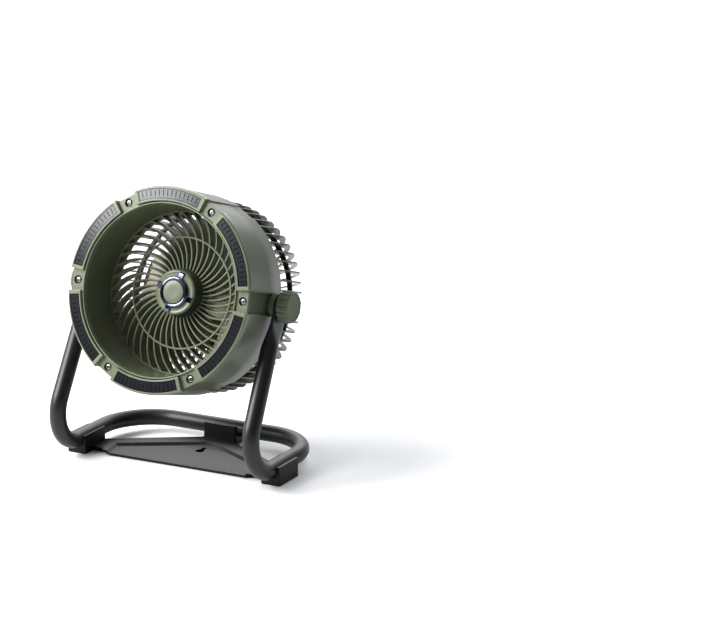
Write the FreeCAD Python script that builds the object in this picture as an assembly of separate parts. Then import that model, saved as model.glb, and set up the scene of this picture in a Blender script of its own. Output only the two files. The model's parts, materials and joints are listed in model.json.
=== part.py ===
import FreeCAD, Part
import math
import os

V = FreeCAD.Vector

# ---------------------------------------------------------------------------
# Driving dimensions, millimetres and degrees.
# Row frame: +X right, front of the fan faces -Y, +Z up, origin on the floor
# under the middle of the object.
# Head frame, used while a head part is drawn: y runs back from the face of
# the screw lugs along the head's axis, x right, z up, axis through x = z = 0.
# Angles round the head's axis start at +x and turn towards +z.
# ---------------------------------------------------------------------------

# where the tilting head hangs
PIVOT_Y = -11.75
PIVOT_Z = 179.4
PIVOT_DEPTH = 50.0
HEAD_TILT = 16.36

# front bezel: six recessed screw lugs between six raised arc panels
LUG_COUNT = 6
LUG_PITCH = 360.0 / LUG_COUNT
LUG_HALF_WIDTH = 10.7
LUG_FLAT = 102.6
PANEL_FACE = -4.0
PANEL_R_OUT = 105.4
PANEL_R_IN = 90.0
PANEL_END = 6.4
BEZEL_BACK = 3.0
BOSS_BACK = 7.0
LUG_STEP = 104.0
LUG_PAD_INNER = 91.5
MOUTH_R = 87.5
MOUTH_LIP_R = 89.4
MOUTH_FACE = -2.0
SCREW_CIRCLE = 96.5

# light windows set into the raised panels
WINDOW_R_IN = 92.0
WINDOW_R_OUT = 103.0
WINDOW_HALF_ANGLE = 21.3
WINDOW_FACE = -3.4
WINDOW_THICK = 2.0
GROOVE_COUNT = 14
GROOVE_PITCH = 2.8
LED_PER_BOARD = 7

# drum behind the bezel
DRUM_R_FRONT = 105.0
DRUM_R_REAR = 104.0
DRUM_BACK = 66.0
DRUM_WALL = 2.4
DRUM_FLOOR = 60.0
DRUM_FLOOR_THICK = 2.4

# air duct and guide vanes
DUCT_R_FRONT = 87.3
DUCT_R_REAR = 83.5
DUCT_WALL = 1.8
VANE_FACE = 45.0
VANE_DEPTH = 13.0
VANE_COUNT = 42
VANE_THICK = 1.8
VANE_ROOT_R = 25.0
VANE_CURVE_R = 49.3
VANE_HEADING = 2.0
VANE_TURN = 78.5
MID_RING_R = 57.0
MID_RING_WIDTH = 2.0

# hub cone in the middle of the vanes
HUB_R_BASE = 25.0
HUB_R_FACE = 23.0
HUB_FACE = 31.0
CAP_R = 11.8
CAP_FACE = 27.8
TRIM_R_IN = 12.0
TRIM_R_OUT = 16.2
TRIM_FACE = 28.2
CLAW_WIDTH = 6.0
CLAW_REACH = 21.8
CLAW_START = 72.0
HUB_SCREW_CIRCLE = 16.0

# rear cage of radial fins
FIN_COUNT = 60
FIN_THICK = 1.6
FIN_R_OUT = 100.5
FIN_DEPTH = 8.5
FIN_START = 3.0
CAGE_BACK = 135.0
CAGE_CORNER_R = 22.0
CAGE_HUB_R_IN = 48.2
CAGE_HUB_R_OUT = 51.0
CAGE_RING_THICK = 2.6
CAGE_SCREW_CIRCLE = 94.5
CAGE_SCREW_ANGLE = 30.0
SIDE_RING_R = FIN_R_OUT - FIN_DEPTH
SIDE_RING_Y = 107.0
REAR_RING_R = 54.0
LEAD_R = 87.2
LEAD_ANGLE = -90.0

# impeller
BLADE_COUNT = 3
BLADE_TIP_R = 80.0
BLADE_ROOT_R = 23.2
BLADE_THICK = 1.8
BLADE_MID = 97.0
BLADE_HALF_ROOT = 46.0
BLADE_HALF_TIP = 54.0
BLADE_ROUND_FROM = 0.72
BLADE_SWEEP_ROOT = -14.0
BLADE_SWEEP = 36.0
BLADE_DEPTH_ROOT = 31.0
BLADE_DEPTH_TIP = 26.0
BLADE_CAMBER = 2.5
IMPELLER_HUB_R = 24.0
IMPELLER_FRONT = 79.0
IMPELLER_BACK = 113.0

# motor
SHAFT_R = 1.47
BEARING_R_IN = 1.5
BEARING_R_OUT = 4.0
BEARING_WIDTH = 4.0
ROTOR_R_OUT = 19.5
ROTOR_R_IN = 18.0
ROTOR_FRONT = IMPELLER_FRONT + 3.0
ROTOR_BACK = 108.0
MAGNET_COUNT = 12
MAGNET_R_IN = 15.9
MAGNET_HALF_ANGLE = 14.0
STATOR_SLOTS = 9
STATOR_R_OUT = 15.2
STATOR_FRONT = 91.0
STATOR_BACK = 105.0
YOKE_R_OUT = 8.5
YOKE_R_IN = 5.5
TOOTH_HALF = 1.3
SHOE_R_IN = 13.6
SHOE_HALF_ANGLE = 15.0
COIL_R_IN = 9.2
COIL_R_OUT = 13.2
COIL_HALF = 2.5
COIL_OVERHANG = 1.8
FLANGE_R = 21.0
MOTOR_SCREW_R = 18.0
MOTOR_SCREW_START = 90.0
WIRE_HOLE_R = 2.0
WIRE_HOLE_Z = 11.0

# pod that holds the battery and the controls
POD_R = 48.0
POD_FRONT = 116.0
POD_BACK = 137.0
POD_WALL = 2.0
COVER_THICK = 2.0
CELL_R = 9.2
CELL_LENGTH = 65.0
BOARD_Y = 129.0
BOARD_THICK = 1.6
BOARD_HALF = 26.0
BOARD_LOW = 9.0
BOARD_HIGH = 33.0
POWER_BUTTON_R = 7.0
POWER_BUTTON_Z = 21.0
LIGHT_BUTTON_R = 4.5
LIGHT_BUTTON_X = 20.0
LIGHT_BUTTON_Z = 19.0
BUTTON_TRAVEL = 1.2
SOCKET_X = -20.0
SOCKET_Z = 19.0
SOCKET_WIDTH = 9.0
SOCKET_HEIGHT = 3.2
CELL_Z = (-20.6, -1.8)
CELL_Y = POD_FRONT + POD_WALL + CELL_R + 0.5
COVER_BACK = POD_BACK + COVER_THICK
COVER_POST_R = 3.6
COVER_SCREW_R = 43.0
COVER_SCREW_ANGLES = (45.0, 135.0, 250.0, 290.0)
INDICATOR_Z = 34.0
INDICATOR_XS = (-9.0, -3.0, 3.0, 9.0)

# pivots and clamp knobs
BOLT_R = 3.95
TAB_HOLE_R = 4.0
TAB_INNER = 111.3
TAB_THICK = 4.0
SPACER_R = 13.0
INSERT_R = 5.5
INSERT_START = 92.0
PIVOT_BOSS_R = 9.0
KNOB_R = 16.5
KNOB_FACE_R = 15.0
KNOB_OUTER = 127.6
KNOB_FLUTES = 16
GAP = 0.3
KNOB_INNER = TAB_INNER + TAB_THICK + GAP

# bent tube stand
TUBE_R = 8.7
TUBE_WALL = 1.5
TUBE_X = 115.1
TUBE_LEAN = 1.68
TUBE_Z = 15.5
FRONT_BEND_R = 36.6
FRONT_BEND_Y = PIVOT_Y - 29.7
REAR_BEND_R = 56.0
REAR_BAR_Y = PIVOT_Y + 77.5
TAB_R = 12.5
TAB_LENGTH = 20.0
CRUSH_LENGTH = 46.0
CRUSH_R = 8.6

# feet
FOOT_X = 115.8
FOOT_WIDTH = 21.6
FOOT_FRONT = PIVOT_Y - 30.9
FOOT_LENGTH = 39.5
FOOT_TOP = 20.0
FOOT_BOTTOM = 0.6
REAR_FOOT_HALF = 19.5
PAD_THICK = 1.8

# pressed base plate
PLATE_THICK = 1.5
PLATE_RIM_Z = 5.5
PLATE_PAN_Z = 3.0
PLATE_FRONT = PIVOT_Y - 22.9
KEYHOLE_Y = PIVOT_Y + 26.0
KEYHOLE_R = 4.5
KEYHOLE_SLOT_R = 2.2
KEYHOLE_SLOT_END = PIVOT_Y + 35.6


# ---------------------------------------------------------------------------
# Helpers
# ---------------------------------------------------------------------------

def disc(radius, y0, y1, x=0.0, z=0.0):
    """Solid cylinder along +Y."""
    return Part.makeCylinder(radius, y1 - y0, V(x, y0, z), V(0, 1, 0))


def ring(r_out, r_in, y0, y1, x=0.0, z=0.0):
    """Tube along +Y."""
    return disc(r_out, y0, y1, x, z).cut(disc(r_in, y0 - 1, y1 + 1, x, z))


def rod_x(radius, x0, x1, y, z=0.0):
    """Solid cylinder along +X."""
    return Part.makeCylinder(radius, x1 - x0, V(x0, y, z), V(1, 0, 0))


def rod_z(radius, z0, z1, x, y):
    """Solid cylinder along +Z."""
    return Part.makeCylinder(radius, z1 - z0, V(x, y, z0), V(0, 0, 1))


def block(x0, x1, y0, y1, z0, z1):
    return Part.makeBox(x1 - x0, y1 - y0, z1 - z0, V(x0, y0, z0))


def spin(shape, angle):
    """Copy turned about the head's axis, from +x towards +z."""
    turned = shape.copy()
    turned.rotate(V(0, 0, 0), V(0, -1, 0), angle)
    return turned


def around(shape, count, start=0.0):
    return [spin(shape, start + i * 360.0 / count) for i in range(count)]


def union(shapes):
    shapes = list(shapes)
    return shapes[0].multiFuse(shapes[1:]).removeSplitter()


def turned_profile(points, angle=360.0, start=0.0):
    """Revolve an (r, y) outline about the head's axis."""
    corners = [V(r, y, 0) for r, y in points]
    face = Part.Face(Part.makePolygon(corners + corners[:1]))
    body = face.revolve(V(0, 0, 0), V(0, -1, 0), angle)
    return spin(body, start)


def sector(r_out, r_in, y0, y1, half_angle, middle):
    """Part of a flat ring, centred on one angle."""
    outline = [(r_in, y0), (r_out, y0), (r_out, y1), (r_in, y1)]
    return turned_profile(outline, 2 * half_angle, middle - half_angle)


def prism(points, z0, z1):
    """Upright prism on an (x, y) outline."""
    corners = [V(x, y, z0) for x, y in points]
    face = Part.Face(Part.makePolygon(corners + corners[:1]))
    return face.extrude(V(0, 0, z1 - z0))


def tapered(low, low_z, high, high_z):
    """Solid between two similar (x, y) outlines at two heights."""
    wires = []
    for points, z in ((low, low_z), (high, high_z)):
        corners = [V(x, y, z) for x, y in points]
        wires.append(Part.makePolygon(corners + corners[:1]))
    return Part.makeLoft(wires, True, True)


def mirrored(shape):
    return shape.mirror(V(0, 0, 0), V(1, 0, 0))


def place_head(shape):
    """Move a part from the head frame to its tilted place on the stand."""
    placed = shape.copy()
    placed.translate(V(0, -PIVOT_DEPTH, 0))
    placed.rotate(V(0, 0, 0), V(1, 0, 0), -HEAD_TILT)
    placed.translate(V(0, PIVOT_Y, PIVOT_Z))
    return placed


# ---------------------------------------------------------------------------
# Head: bezel, lights and drum
# ---------------------------------------------------------------------------

LUG_ANGLES = [i * LUG_PITCH for i in range(LUG_COUNT)]
PANEL_ANGLES = [a + LUG_PITCH / 2 for a in LUG_ANGLES]


def lug_cutter(y0, y1):
    """Everything outside the flat of the lug at +x."""
    return block(LUG_FLAT, LUG_FLAT + 8, y0, y1, -LUG_HALF_WIDTH, LUG_HALF_WIDTH)


def front_bezel():
    base = ring(LUG_STEP, MOUTH_R, 0, BEZEL_BACK)
    lip = ring(MOUTH_LIP_R, MOUTH_R, MOUTH_FACE, 0.5)
    edge = 1.6
    panel_outline = [
        (PANEL_R_IN, PANEL_FACE + 0.6),
        (PANEL_R_IN + 0.6, PANEL_FACE),
        (PANEL_R_OUT - edge, PANEL_FACE),
        (PANEL_R_OUT - 0.45 * edge, PANEL_FACE + 0.25 * edge),
        (PANEL_R_OUT, PANEL_FACE + edge),
        (PANEL_R_OUT, BEZEL_BACK),
        (PANEL_R_IN, BEZEL_BACK),
    ]
    span = LUG_PITCH - 2 * PANEL_END
    panels = [turned_profile(panel_outline, span, a + PANEL_END) for a in LUG_ANGLES]
    pad = block(LUG_PAD_INNER, LUG_FLAT, 0, BOSS_BACK, -LUG_HALF_WIDTH, LUG_HALF_WIDTH)
    body = union([base, lip] + panels + around(pad, LUG_COUNT))
    for angle in LUG_ANGLES:
        recess = disc(4.4, -1, 4.0, SCREW_CIRCLE)
        hole = disc(1.7, 0, BOSS_BACK + 1, SCREW_CIRCLE)
        body = body.cut(spin(recess.fuse(hole), angle))
        body = body.cut(spin(lug_cutter(-1, BEZEL_BACK + 1), angle))
    for angle in PANEL_ANGLES:
        body = body.cut(sector(WINDOW_R_OUT, WINDOW_R_IN, PANEL_FACE - 1, BEZEL_BACK + 1,
                               WINDOW_HALF_ANGLE, angle))
    return body


def led_window(angle):
    """Smoked diffuser with a row of radial grooves."""
    clear = 0.1
    back = WINDOW_FACE + WINDOW_THICK
    body = sector(WINDOW_R_OUT - clear, WINDOW_R_IN + clear, WINDOW_FACE, back,
                  WINDOW_HALF_ANGLE - 0.1, angle)
    groove = block(WINDOW_R_IN + 3.4, WINDOW_R_OUT - 1.2, WINDOW_FACE - 1, WINDOW_FACE + 0.5,
                   -0.35, 0.35)
    middle = (GROOVE_COUNT - 1) / 2
    for i in range(GROOVE_COUNT):
        body = body.cut(spin(groove, angle + (i - middle) * GROOVE_PITCH))
    return body


def led_board(angle):
    """Curved lamp strip for the back of one window."""
    strip = sector(DRUM_R_FRONT - DRUM_WALL - 0.2, WINDOW_R_IN - 0.6, BEZEL_BACK,
                   BEZEL_BACK + 1.2, WINDOW_HALF_ANGLE + 1.5, angle)
    chip = block(96.0, 99.0, BEZEL_BACK - 1.0, BEZEL_BACK + 0.2, -1.4, 1.4)
    pitch = 2 * WINDOW_HALF_ANGLE / LED_PER_BOARD
    middle = (LED_PER_BOARD - 1) / 2
    chips = [spin(chip, angle + (i - middle) * pitch) for i in range(LED_PER_BOARD)]
    return union([strip] + chips)


def bezel_screws():
    head = disc(3.4, 1.2, 3.9, SCREW_CIRCLE)
    head = head.makeFillet(0.9, [head.Edges[0]])
    slot = block(SCREW_CIRCLE - 2.0, SCREW_CIRCLE + 2.0, 0.5, 2.4, -0.45, 0.45)
    cross = slot.copy()
    cross.rotate(V(SCREW_CIRCLE, 0, 0), V(0, 1, 0), 90)
    shank = disc(1.5, 3.5, 22.0, SCREW_CIRCLE)
    screw = head.fuse(shank).cut(slot).cut(cross)
    return Part.makeCompound(around(screw, LUG_COUNT, 0))


def drum_shell():
    wall = [
        (DRUM_R_FRONT - DRUM_WALL, BEZEL_BACK),
        (DRUM_R_FRONT, BEZEL_BACK),
        (DRUM_R_REAR, DRUM_BACK),
        (DRUM_R_REAR - DRUM_WALL, DRUM_BACK),
    ]
    floor = ring(DRUM_R_REAR - 1.0, DUCT_R_REAR + 1.0, DRUM_FLOOR, DRUM_FLOOR + DRUM_FLOOR_THICK)
    lug_back = block(FIN_R_OUT + 0.1, LUG_FLAT, BOSS_BACK, DRUM_BACK,
                     -LUG_HALF_WIDTH - 1, LUG_HALF_WIDTH + 1)
    screw_boss = disc(4.9, BOSS_BACK, 30.0, SCREW_CIRCLE)
    screw_rib = block(SCREW_CIRCLE, LUG_FLAT, BOSS_BACK, 30.0, -1.5, 1.5)
    floor_boss = disc(4.0, 52.0, DRUM_FLOOR + 1, CAGE_SCREW_CIRCLE)
    parts = [turned_profile(wall), floor]
    parts += around(lug_back, LUG_COUNT)
    parts += around(screw_boss.fuse(screw_rib), LUG_COUNT)
    parts += around(floor_boss, LUG_COUNT, CAGE_SCREW_ANGLE)
    pivot_boss = rod_x(PIVOT_BOSS_R, INSERT_START - 1, LUG_FLAT - 1, PIVOT_DEPTH)
    parts += [pivot_boss, spin(pivot_boss, 180)]
    body = union(parts)
    cutters = []
    pad_space = block(LUG_PAD_INNER, LUG_FLAT + 8, 0, BOSS_BACK, -LUG_HALF_WIDTH, LUG_HALF_WIDTH)
    cutters += around(pad_space, LUG_COUNT)
    cutters += around(lug_cutter(0, DRUM_BACK + 1), LUG_COUNT)
    cutters += around(disc(1.55, BOSS_BACK - 1, 24.0, SCREW_CIRCLE), LUG_COUNT)
    cutters += around(disc(1.3, 51.0, DRUM_FLOOR + 5, CAGE_SCREW_CIRCLE), LUG_COUNT,
                      CAGE_SCREW_ANGLE)
    insert_seat = rod_x(INSERT_R, INSERT_START - 2, LUG_FLAT + 7.4, PIVOT_DEPTH)
    cutters += [insert_seat, spin(insert_seat, 180)]
    cutters.append(spin(disc(1.8, DRUM_FLOOR - 1, DRUM_BACK + 1, LEAD_R), LEAD_ANGLE))
    return body.cut(cutters)


def front_duct():
    outline = [
        (DUCT_R_FRONT, BEZEL_BACK),
        (DUCT_R_FRONT + DUCT_WALL + 0.8, BEZEL_BACK),
        (DUCT_R_FRONT + DUCT_WALL + 0.8, BEZEL_BACK + 1.5),
        (DUCT_R_FRONT + DUCT_WALL, BEZEL_BACK + 1.5),
        (DUCT_R_REAR + DUCT_WALL, VANE_FACE),
        (DUCT_R_REAR, VANE_FACE),
    ]
    return turned_profile(outline)


def vane():
    """One guide vane: a strip on a circular arc, extruded along the axis."""
    heading = math.radians(VANE_HEADING)
    cx = VANE_ROOT_R - VANE_CURVE_R * math.sin(heading)
    cz = VANE_CURVE_R * math.cos(heading)

    def at(radius, turn):
        angle = heading + math.radians(turn)
        return V(cx + radius * math.sin(angle), VANE_FACE, cz - radius * math.cos(angle))

    first, last = -3.0, VANE_TURN
    middle = (first + last) / 2
    outer = VANE_CURVE_R + VANE_THICK / 2
    inner = VANE_CURVE_R - VANE_THICK / 2
    edges = [
        Part.Arc(at(outer, first), at(outer, middle), at(outer, last)).toShape(),
        Part.LineSegment(at(outer, last), at(inner, last)).toShape(),
        Part.Arc(at(inner, last), at(inner, middle), at(inner, first)).toShape(),
        Part.LineSegment(at(inner, first), at(outer, first)).toShape(),
    ]
    return Part.Face(Part.Wire(edges)).extrude(V(0, VANE_DEPTH, 0))


def front_grille():
    back = VANE_FACE + VANE_DEPTH
    outer_ring = ring(DUCT_R_REAR + DUCT_WALL, DUCT_R_REAR - 0.9, VANE_FACE, DRUM_FLOOR)
    hub_ring = ring(VANE_ROOT_R, VANE_ROOT_R - 2.5, VANE_FACE, back)
    hub_floor = disc(VANE_ROOT_R - 1, back - 2, back)
    half = MID_RING_WIDTH / 2
    mid_ring = ring(MID_RING_R + half, MID_RING_R - half, VANE_FACE - 0.5, VANE_FACE + 2.5)
    vanes = around(vane(), VANE_COUNT)
    body = union([outer_ring, hub_ring, hub_floor, mid_ring] + vanes)
    return body.cut(around(disc(1.3, back - 3, back + 1, HUB_SCREW_CIRCLE), 3, 30.0))


def hub_cone():
    wall = 2.0
    outline = [
        (0, HUB_FACE),
        (HUB_R_FACE - 1.6, HUB_FACE),
        (HUB_R_FACE - 0.4, HUB_FACE + 0.5),
        (HUB_R_FACE, HUB_FACE + 1.6),
        (HUB_R_BASE, VANE_FACE),
        (HUB_R_BASE - wall, VANE_FACE),
        (HUB_R_FACE - wall, HUB_FACE + wall),
        (0, HUB_FACE + wall),
    ]
    shell = turned_profile(outline)
    post = disc(3.0, HUB_FACE + 1, VANE_FACE + VANE_DEPTH - 2, HUB_SCREW_CIRCLE)
    pilot = disc(1.2, HUB_FACE + 4, VANE_FACE + VANE_DEPTH, HUB_SCREW_CIRCLE)
    body = union([shell] + around(post, 3, 30.0))
    return body.cut(around(pilot, 3, 30.0))


def hub_trim():
    """Bright ring with four claws."""
    band = ring(TRIM_R_OUT, TRIM_R_IN, TRIM_FACE, HUB_FACE)
    claw = block(TRIM_R_OUT - 1, CLAW_REACH, TRIM_FACE + 0.9, HUB_FACE,
                 -CLAW_WIDTH / 2, CLAW_WIDTH / 2)
    return union([band] + around(claw, 4, CLAW_START))


def hub_cap():
    body = disc(CAP_R, CAP_FACE, HUB_FACE)
    return body.makeFillet(0.6, [body.Edges[0]])


def hub_screws():
    back = VANE_FACE + VANE_DEPTH
    head = disc(2.4, back, back + 1.6, HUB_SCREW_CIRCLE)
    screw = disc(1.15, HUB_FACE + 6, back + 0.5, HUB_SCREW_CIRCLE).fuse(head)
    return Part.makeCompound(around(screw, 3, 30.0))


# ---------------------------------------------------------------------------
# Head: rear cage
# ---------------------------------------------------------------------------

def fin():
    """One bent plate of the cage, in the plane through the axis."""
    r_in = FIN_R_OUT - FIN_DEPTH
    y_in = CAGE_BACK - FIN_DEPTH
    corner_r = FIN_R_OUT - CAGE_CORNER_R
    corner_y = CAGE_BACK - CAGE_CORNER_R
    inner_corner = CAGE_CORNER_R - FIN_DEPTH
    start = DRUM_FLOOR + DRUM_FLOOR_THICK
    end = CAGE_HUB_R_OUT - 1.0

    def corner(radius, degrees):
        angle = math.radians(degrees)
        return V(corner_r + radius * math.cos(angle), corner_y + radius * math.sin(angle), 0)

    edges = [
        Part.LineSegment(V(r_in, start, 0), V(FIN_R_OUT, start, 0)).toShape(),
        Part.LineSegment(V(FIN_R_OUT, start, 0), corner(CAGE_CORNER_R, 0)).toShape(),
        Part.Arc(corner(CAGE_CORNER_R, 0), corner(CAGE_CORNER_R, 45),
                 corner(CAGE_CORNER_R, 90)).toShape(),
        Part.LineSegment(corner(CAGE_CORNER_R, 90), V(end, CAGE_BACK, 0)).toShape(),
        Part.LineSegment(V(end, CAGE_BACK, 0), V(end, y_in, 0)).toShape(),
        Part.LineSegment(V(end, y_in, 0), corner(inner_corner, 90)).toShape(),
        Part.Arc(corner(inner_corner, 90), corner(inner_corner, 45),
                 corner(inner_corner, 0)).toShape(),
        Part.LineSegment(corner(inner_corner, 0), V(r_in, start, 0)).toShape(),
    ]
    plate = Part.Face(Part.Wire(edges)).extrude(V(0, 0, FIN_THICK))
    plate.translate(V(0, 0, -FIN_THICK / 2))
    return plate


def rear_cage():
    start = DRUM_FLOOR + DRUM_FLOOR_THICK
    front_ring = ring(FIN_R_OUT, SIDE_RING_R, start, start + CAGE_RING_THICK)
    hub_ring = ring(CAGE_HUB_R_OUT, CAGE_HUB_R_IN, CAGE_BACK - FIN_DEPTH, CAGE_BACK)
    body = union([front_ring, hub_ring] + around(fin(), FIN_COUNT, FIN_START))
    cutters = around(disc(1.5, start - 1, start + 4, CAGE_SCREW_CIRCLE), LUG_COUNT,
                     CAGE_SCREW_ANGLE)
    cutters.append(spin(disc(1.8, start - 1, start + 4, LEAD_R), LEAD_ANGLE))
    return body.cut(cutters)


def cage_side_ring():
    """Dark hoop inside the corner of the cage, with a small tooth at each fin."""
    hoop = ring(SIDE_RING_R - 0.2, SIDE_RING_R - 3.2, SIDE_RING_Y, SIDE_RING_Y + 4.0)
    tooth = block(SIDE_RING_R - 3.0, SIDE_RING_R - 1.0, SIDE_RING_Y + 3.5, SIDE_RING_Y + 6.0,
                  -0.9, 0.9)
    return union([hoop] + around(tooth, FIN_COUNT, FIN_START))


def cage_rear_ring():
    y_in = CAGE_BACK - FIN_DEPTH
    return ring(REAR_RING_R + 2.0, REAR_RING_R - 2.0, y_in - 2.6, y_in - 0.1)


def cage_screws():
    start = DRUM_FLOOR + DRUM_FLOOR_THICK + CAGE_RING_THICK
    head = disc(2.5, start, start + 1.8, CAGE_SCREW_CIRCLE)
    screw = disc(1.25, 54.0, start + 0.5, CAGE_SCREW_CIRCLE).fuse(head)
    return Part.makeCompound(around(screw, LUG_COUNT, CAGE_SCREW_ANGLE))


def led_lead():
    """Sleeved lead from the pod to the lamps, clipped along the inside of the cage."""
    r_start = POD_R
    y_back = CAGE_BACK - FIN_DEPTH - 4.3
    bend = 6.0
    corner = LEAD_R - bend
    middle = bend * math.sqrt(0.5)
    path = Part.Wire([
        Part.LineSegment(V(r_start, y_back, 0), V(corner, y_back, 0)).toShape(),
        Part.Arc(V(corner, y_back, 0), V(corner + middle, y_back - bend + middle, 0),
                 V(LEAD_R, y_back - bend, 0)).toShape(),
        Part.LineSegment(V(LEAD_R, y_back - bend, 0), V(LEAD_R, 52.0, 0)).toShape(),
    ])
    profile = Part.Wire([Part.makeCircle(1.4, V(r_start, y_back, 0), V(1, 0, 0))])
    return spin(path.makePipeShell([profile], True, False), LEAD_ANGLE)


# ---------------------------------------------------------------------------
# Impeller and motor
# ---------------------------------------------------------------------------

def blade_point(across, along, lift):
    """Point of a blade: across from leading to trailing edge, along from root to tip."""
    radius = BLADE_ROOT_R + along * (BLADE_TIP_R - BLADE_ROOT_R)
    full_half = BLADE_HALF_ROOT + (BLADE_HALF_TIP - BLADE_HALF_ROOT) * along
    rounding = max(0.0, (along - BLADE_ROUND_FROM) / (1 - BLADE_ROUND_FROM))
    narrowed = 1 - 0.4 * rounding ** 2.4
    angle = math.radians(BLADE_SWEEP_ROOT - BLADE_SWEEP * along
                         + (2 * across - 1) * full_half * narrowed)
    depth = BLADE_DEPTH_ROOT + (BLADE_DEPTH_TIP - BLADE_DEPTH_ROOT) * along
    camber = BLADE_CAMBER * math.sin(math.pi * across)
    y = BLADE_MID + (0.5 - across) * depth * narrowed + camber + lift
    return V(radius * math.cos(angle), y, radius * math.sin(angle))


def blade():
    """Curved plate closed by ruled faces along its four edges."""
    rows = 11
    columns = 15

    def skin(lift):
        grid = []
        for i in range(rows):
            across = i / (rows - 1)
            grid.append([blade_point(across, j / (columns - 1), lift)
                         for j in range(columns)])
        surface = Part.BSplineSurface()
        surface.interpolate(grid)
        return surface.toShape()

    front = skin(-BLADE_THICK / 2)
    back = skin(BLADE_THICK / 2)
    faces = [front, back]
    for low, high in zip(front.Edges, back.Edges):
        faces.append(Part.makeRuledSurface(low, high))
    shell = Part.makeShell(faces)
    shell.sewShape()
    solid = Part.makeSolid(Part.Shell(shell.Faces))
    if solid.Volume < 0:
        solid.reverse()
    return solid


def impeller():
    wall = 1.6
    outline = [
        (0, IMPELLER_FRONT),
        (IMPELLER_HUB_R - 4.0, IMPELLER_FRONT),
        (IMPELLER_HUB_R - 1.2, IMPELLER_FRONT + 1.2),
        (IMPELLER_HUB_R, IMPELLER_FRONT + 4.0),
        (IMPELLER_HUB_R, IMPELLER_BACK),
        (IMPELLER_HUB_R - wall, IMPELLER_BACK),
        (IMPELLER_HUB_R - wall, IMPELLER_FRONT + 3.0),
        (0, IMPELLER_FRONT + 3.0),
    ]
    body = union([turned_profile(outline)] + around(blade(), BLADE_COUNT))
    return body.cut(disc(SHAFT_R, IMPELLER_FRONT + 1.5, IMPELLER_FRONT + 4))


def rotor_can():
    cup = disc(ROTOR_R_OUT, ROTOR_FRONT, ROTOR_BACK)
    cup = cup.cut(disc(ROTOR_R_IN, ROTOR_FRONT + 2, ROTOR_BACK + 1))
    return cup.cut(disc(SHAFT_R, ROTOR_FRONT - 1, ROTOR_FRONT + 3))


def rotor_magnets():
    magnets = []
    for i in range(MAGNET_COUNT):
        magnets.append(sector(ROTOR_R_IN, MAGNET_R_IN, ROTOR_FRONT + 4, ROTOR_BACK - 1,
                              MAGNET_HALF_ANGLE, i * 360.0 / MAGNET_COUNT))
    return Part.makeCompound(magnets)


def motor_shaft():
    return disc(SHAFT_R, IMPELLER_FRONT + 1.5, IMPELLER_BACK + 1.2)


def shaft_clip():
    return ring(2.6, SHAFT_R, 112.4, 112.9)


def motor_base():
    flange = disc(FLANGE_R, IMPELLER_BACK + 0.8, POD_FRONT)
    tube = disc(YOKE_R_IN, ROTOR_FRONT + 4.5, IMPELLER_BACK + 1)
    body = flange.fuse(tube)
    body = body.cut(disc(BEARING_R_OUT, ROTOR_FRONT + 4, IMPELLER_BACK + 1.9))
    cutters = around(disc(1.3, 110.0, POD_FRONT + 1, MOTOR_SCREW_R), 3, MOTOR_SCREW_START)
    cutters.append(disc(WIRE_HOLE_R, 110.0, POD_FRONT + 1, 0, WIRE_HOLE_Z))
    return body.cut(cutters)


def motor_bearings():
    front = ring(BEARING_R_OUT, BEARING_R_IN, ROTOR_FRONT + 5, ROTOR_FRONT + 5 + BEARING_WIDTH)
    rear = ring(BEARING_R_OUT, BEARING_R_IN, ROTOR_BACK, ROTOR_BACK + BEARING_WIDTH)
    return Part.makeCompound([front, rear])


def stator_core():
    yoke = ring(YOKE_R_OUT, YOKE_R_IN, STATOR_FRONT, STATOR_BACK)
    tooth = block(YOKE_R_OUT - 0.5, SHOE_R_IN + 0.4, STATOR_FRONT, STATOR_BACK,
                  -TOOTH_HALF, TOOTH_HALF)
    shoe = sector(STATOR_R_OUT, SHOE_R_IN, STATOR_FRONT, STATOR_BACK, SHOE_HALF_ANGLE, 0.0)
    return union([yoke] + around(tooth.fuse(shoe), STATOR_SLOTS))


def stator_coils():
    outside = block(COIL_R_IN, COIL_R_OUT, STATOR_FRONT - COIL_OVERHANG,
                    STATOR_BACK + COIL_OVERHANG, -COIL_HALF, COIL_HALF)
    core_space = block(COIL_R_IN - 0.2, COIL_R_OUT + 0.2, STATOR_FRONT, STATOR_BACK,
                       -TOOTH_HALF, TOOTH_HALF)
    return Part.makeCompound(around(outside.cut(core_space), STATOR_SLOTS))


def motor_screws():
    screw = disc(1.25, IMPELLER_BACK + 1.5, POD_FRONT + 3.5, MOTOR_SCREW_R)
    head = disc(2.3, POD_FRONT + POD_WALL, POD_FRONT + POD_WALL + 1.5, MOTOR_SCREW_R)
    return Part.makeCompound(around(screw.fuse(head), 3, MOTOR_SCREW_START))


# ---------------------------------------------------------------------------
# Pod: battery, board, cover and buttons
# ---------------------------------------------------------------------------

def pod_housing():
    cup = disc(POD_R, POD_FRONT, POD_BACK)
    cup = cup.cut(disc(POD_R - POD_WALL, POD_FRONT + POD_WALL, POD_BACK + 1))
    post = disc(COVER_POST_R, POD_FRONT + 1, POD_BACK, COVER_SCREW_R)
    body = union([cup] + [spin(post, a) for a in COVER_SCREW_ANGLES])
    pilot = disc(1.2, POD_BACK - 10, POD_BACK + 1, COVER_SCREW_R)
    cutters = [spin(pilot, a) for a in COVER_SCREW_ANGLES]
    cutters += around(disc(1.3, POD_FRONT - 1, POD_FRONT + POD_WALL + 1, MOTOR_SCREW_R), 3,
                      MOTOR_SCREW_START)
    cutters.append(disc(WIRE_HOLE_R, POD_FRONT - 1, POD_FRONT + POD_WALL + 1, 0, WIRE_HOLE_Z))
    return body.cut(cutters)


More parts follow.
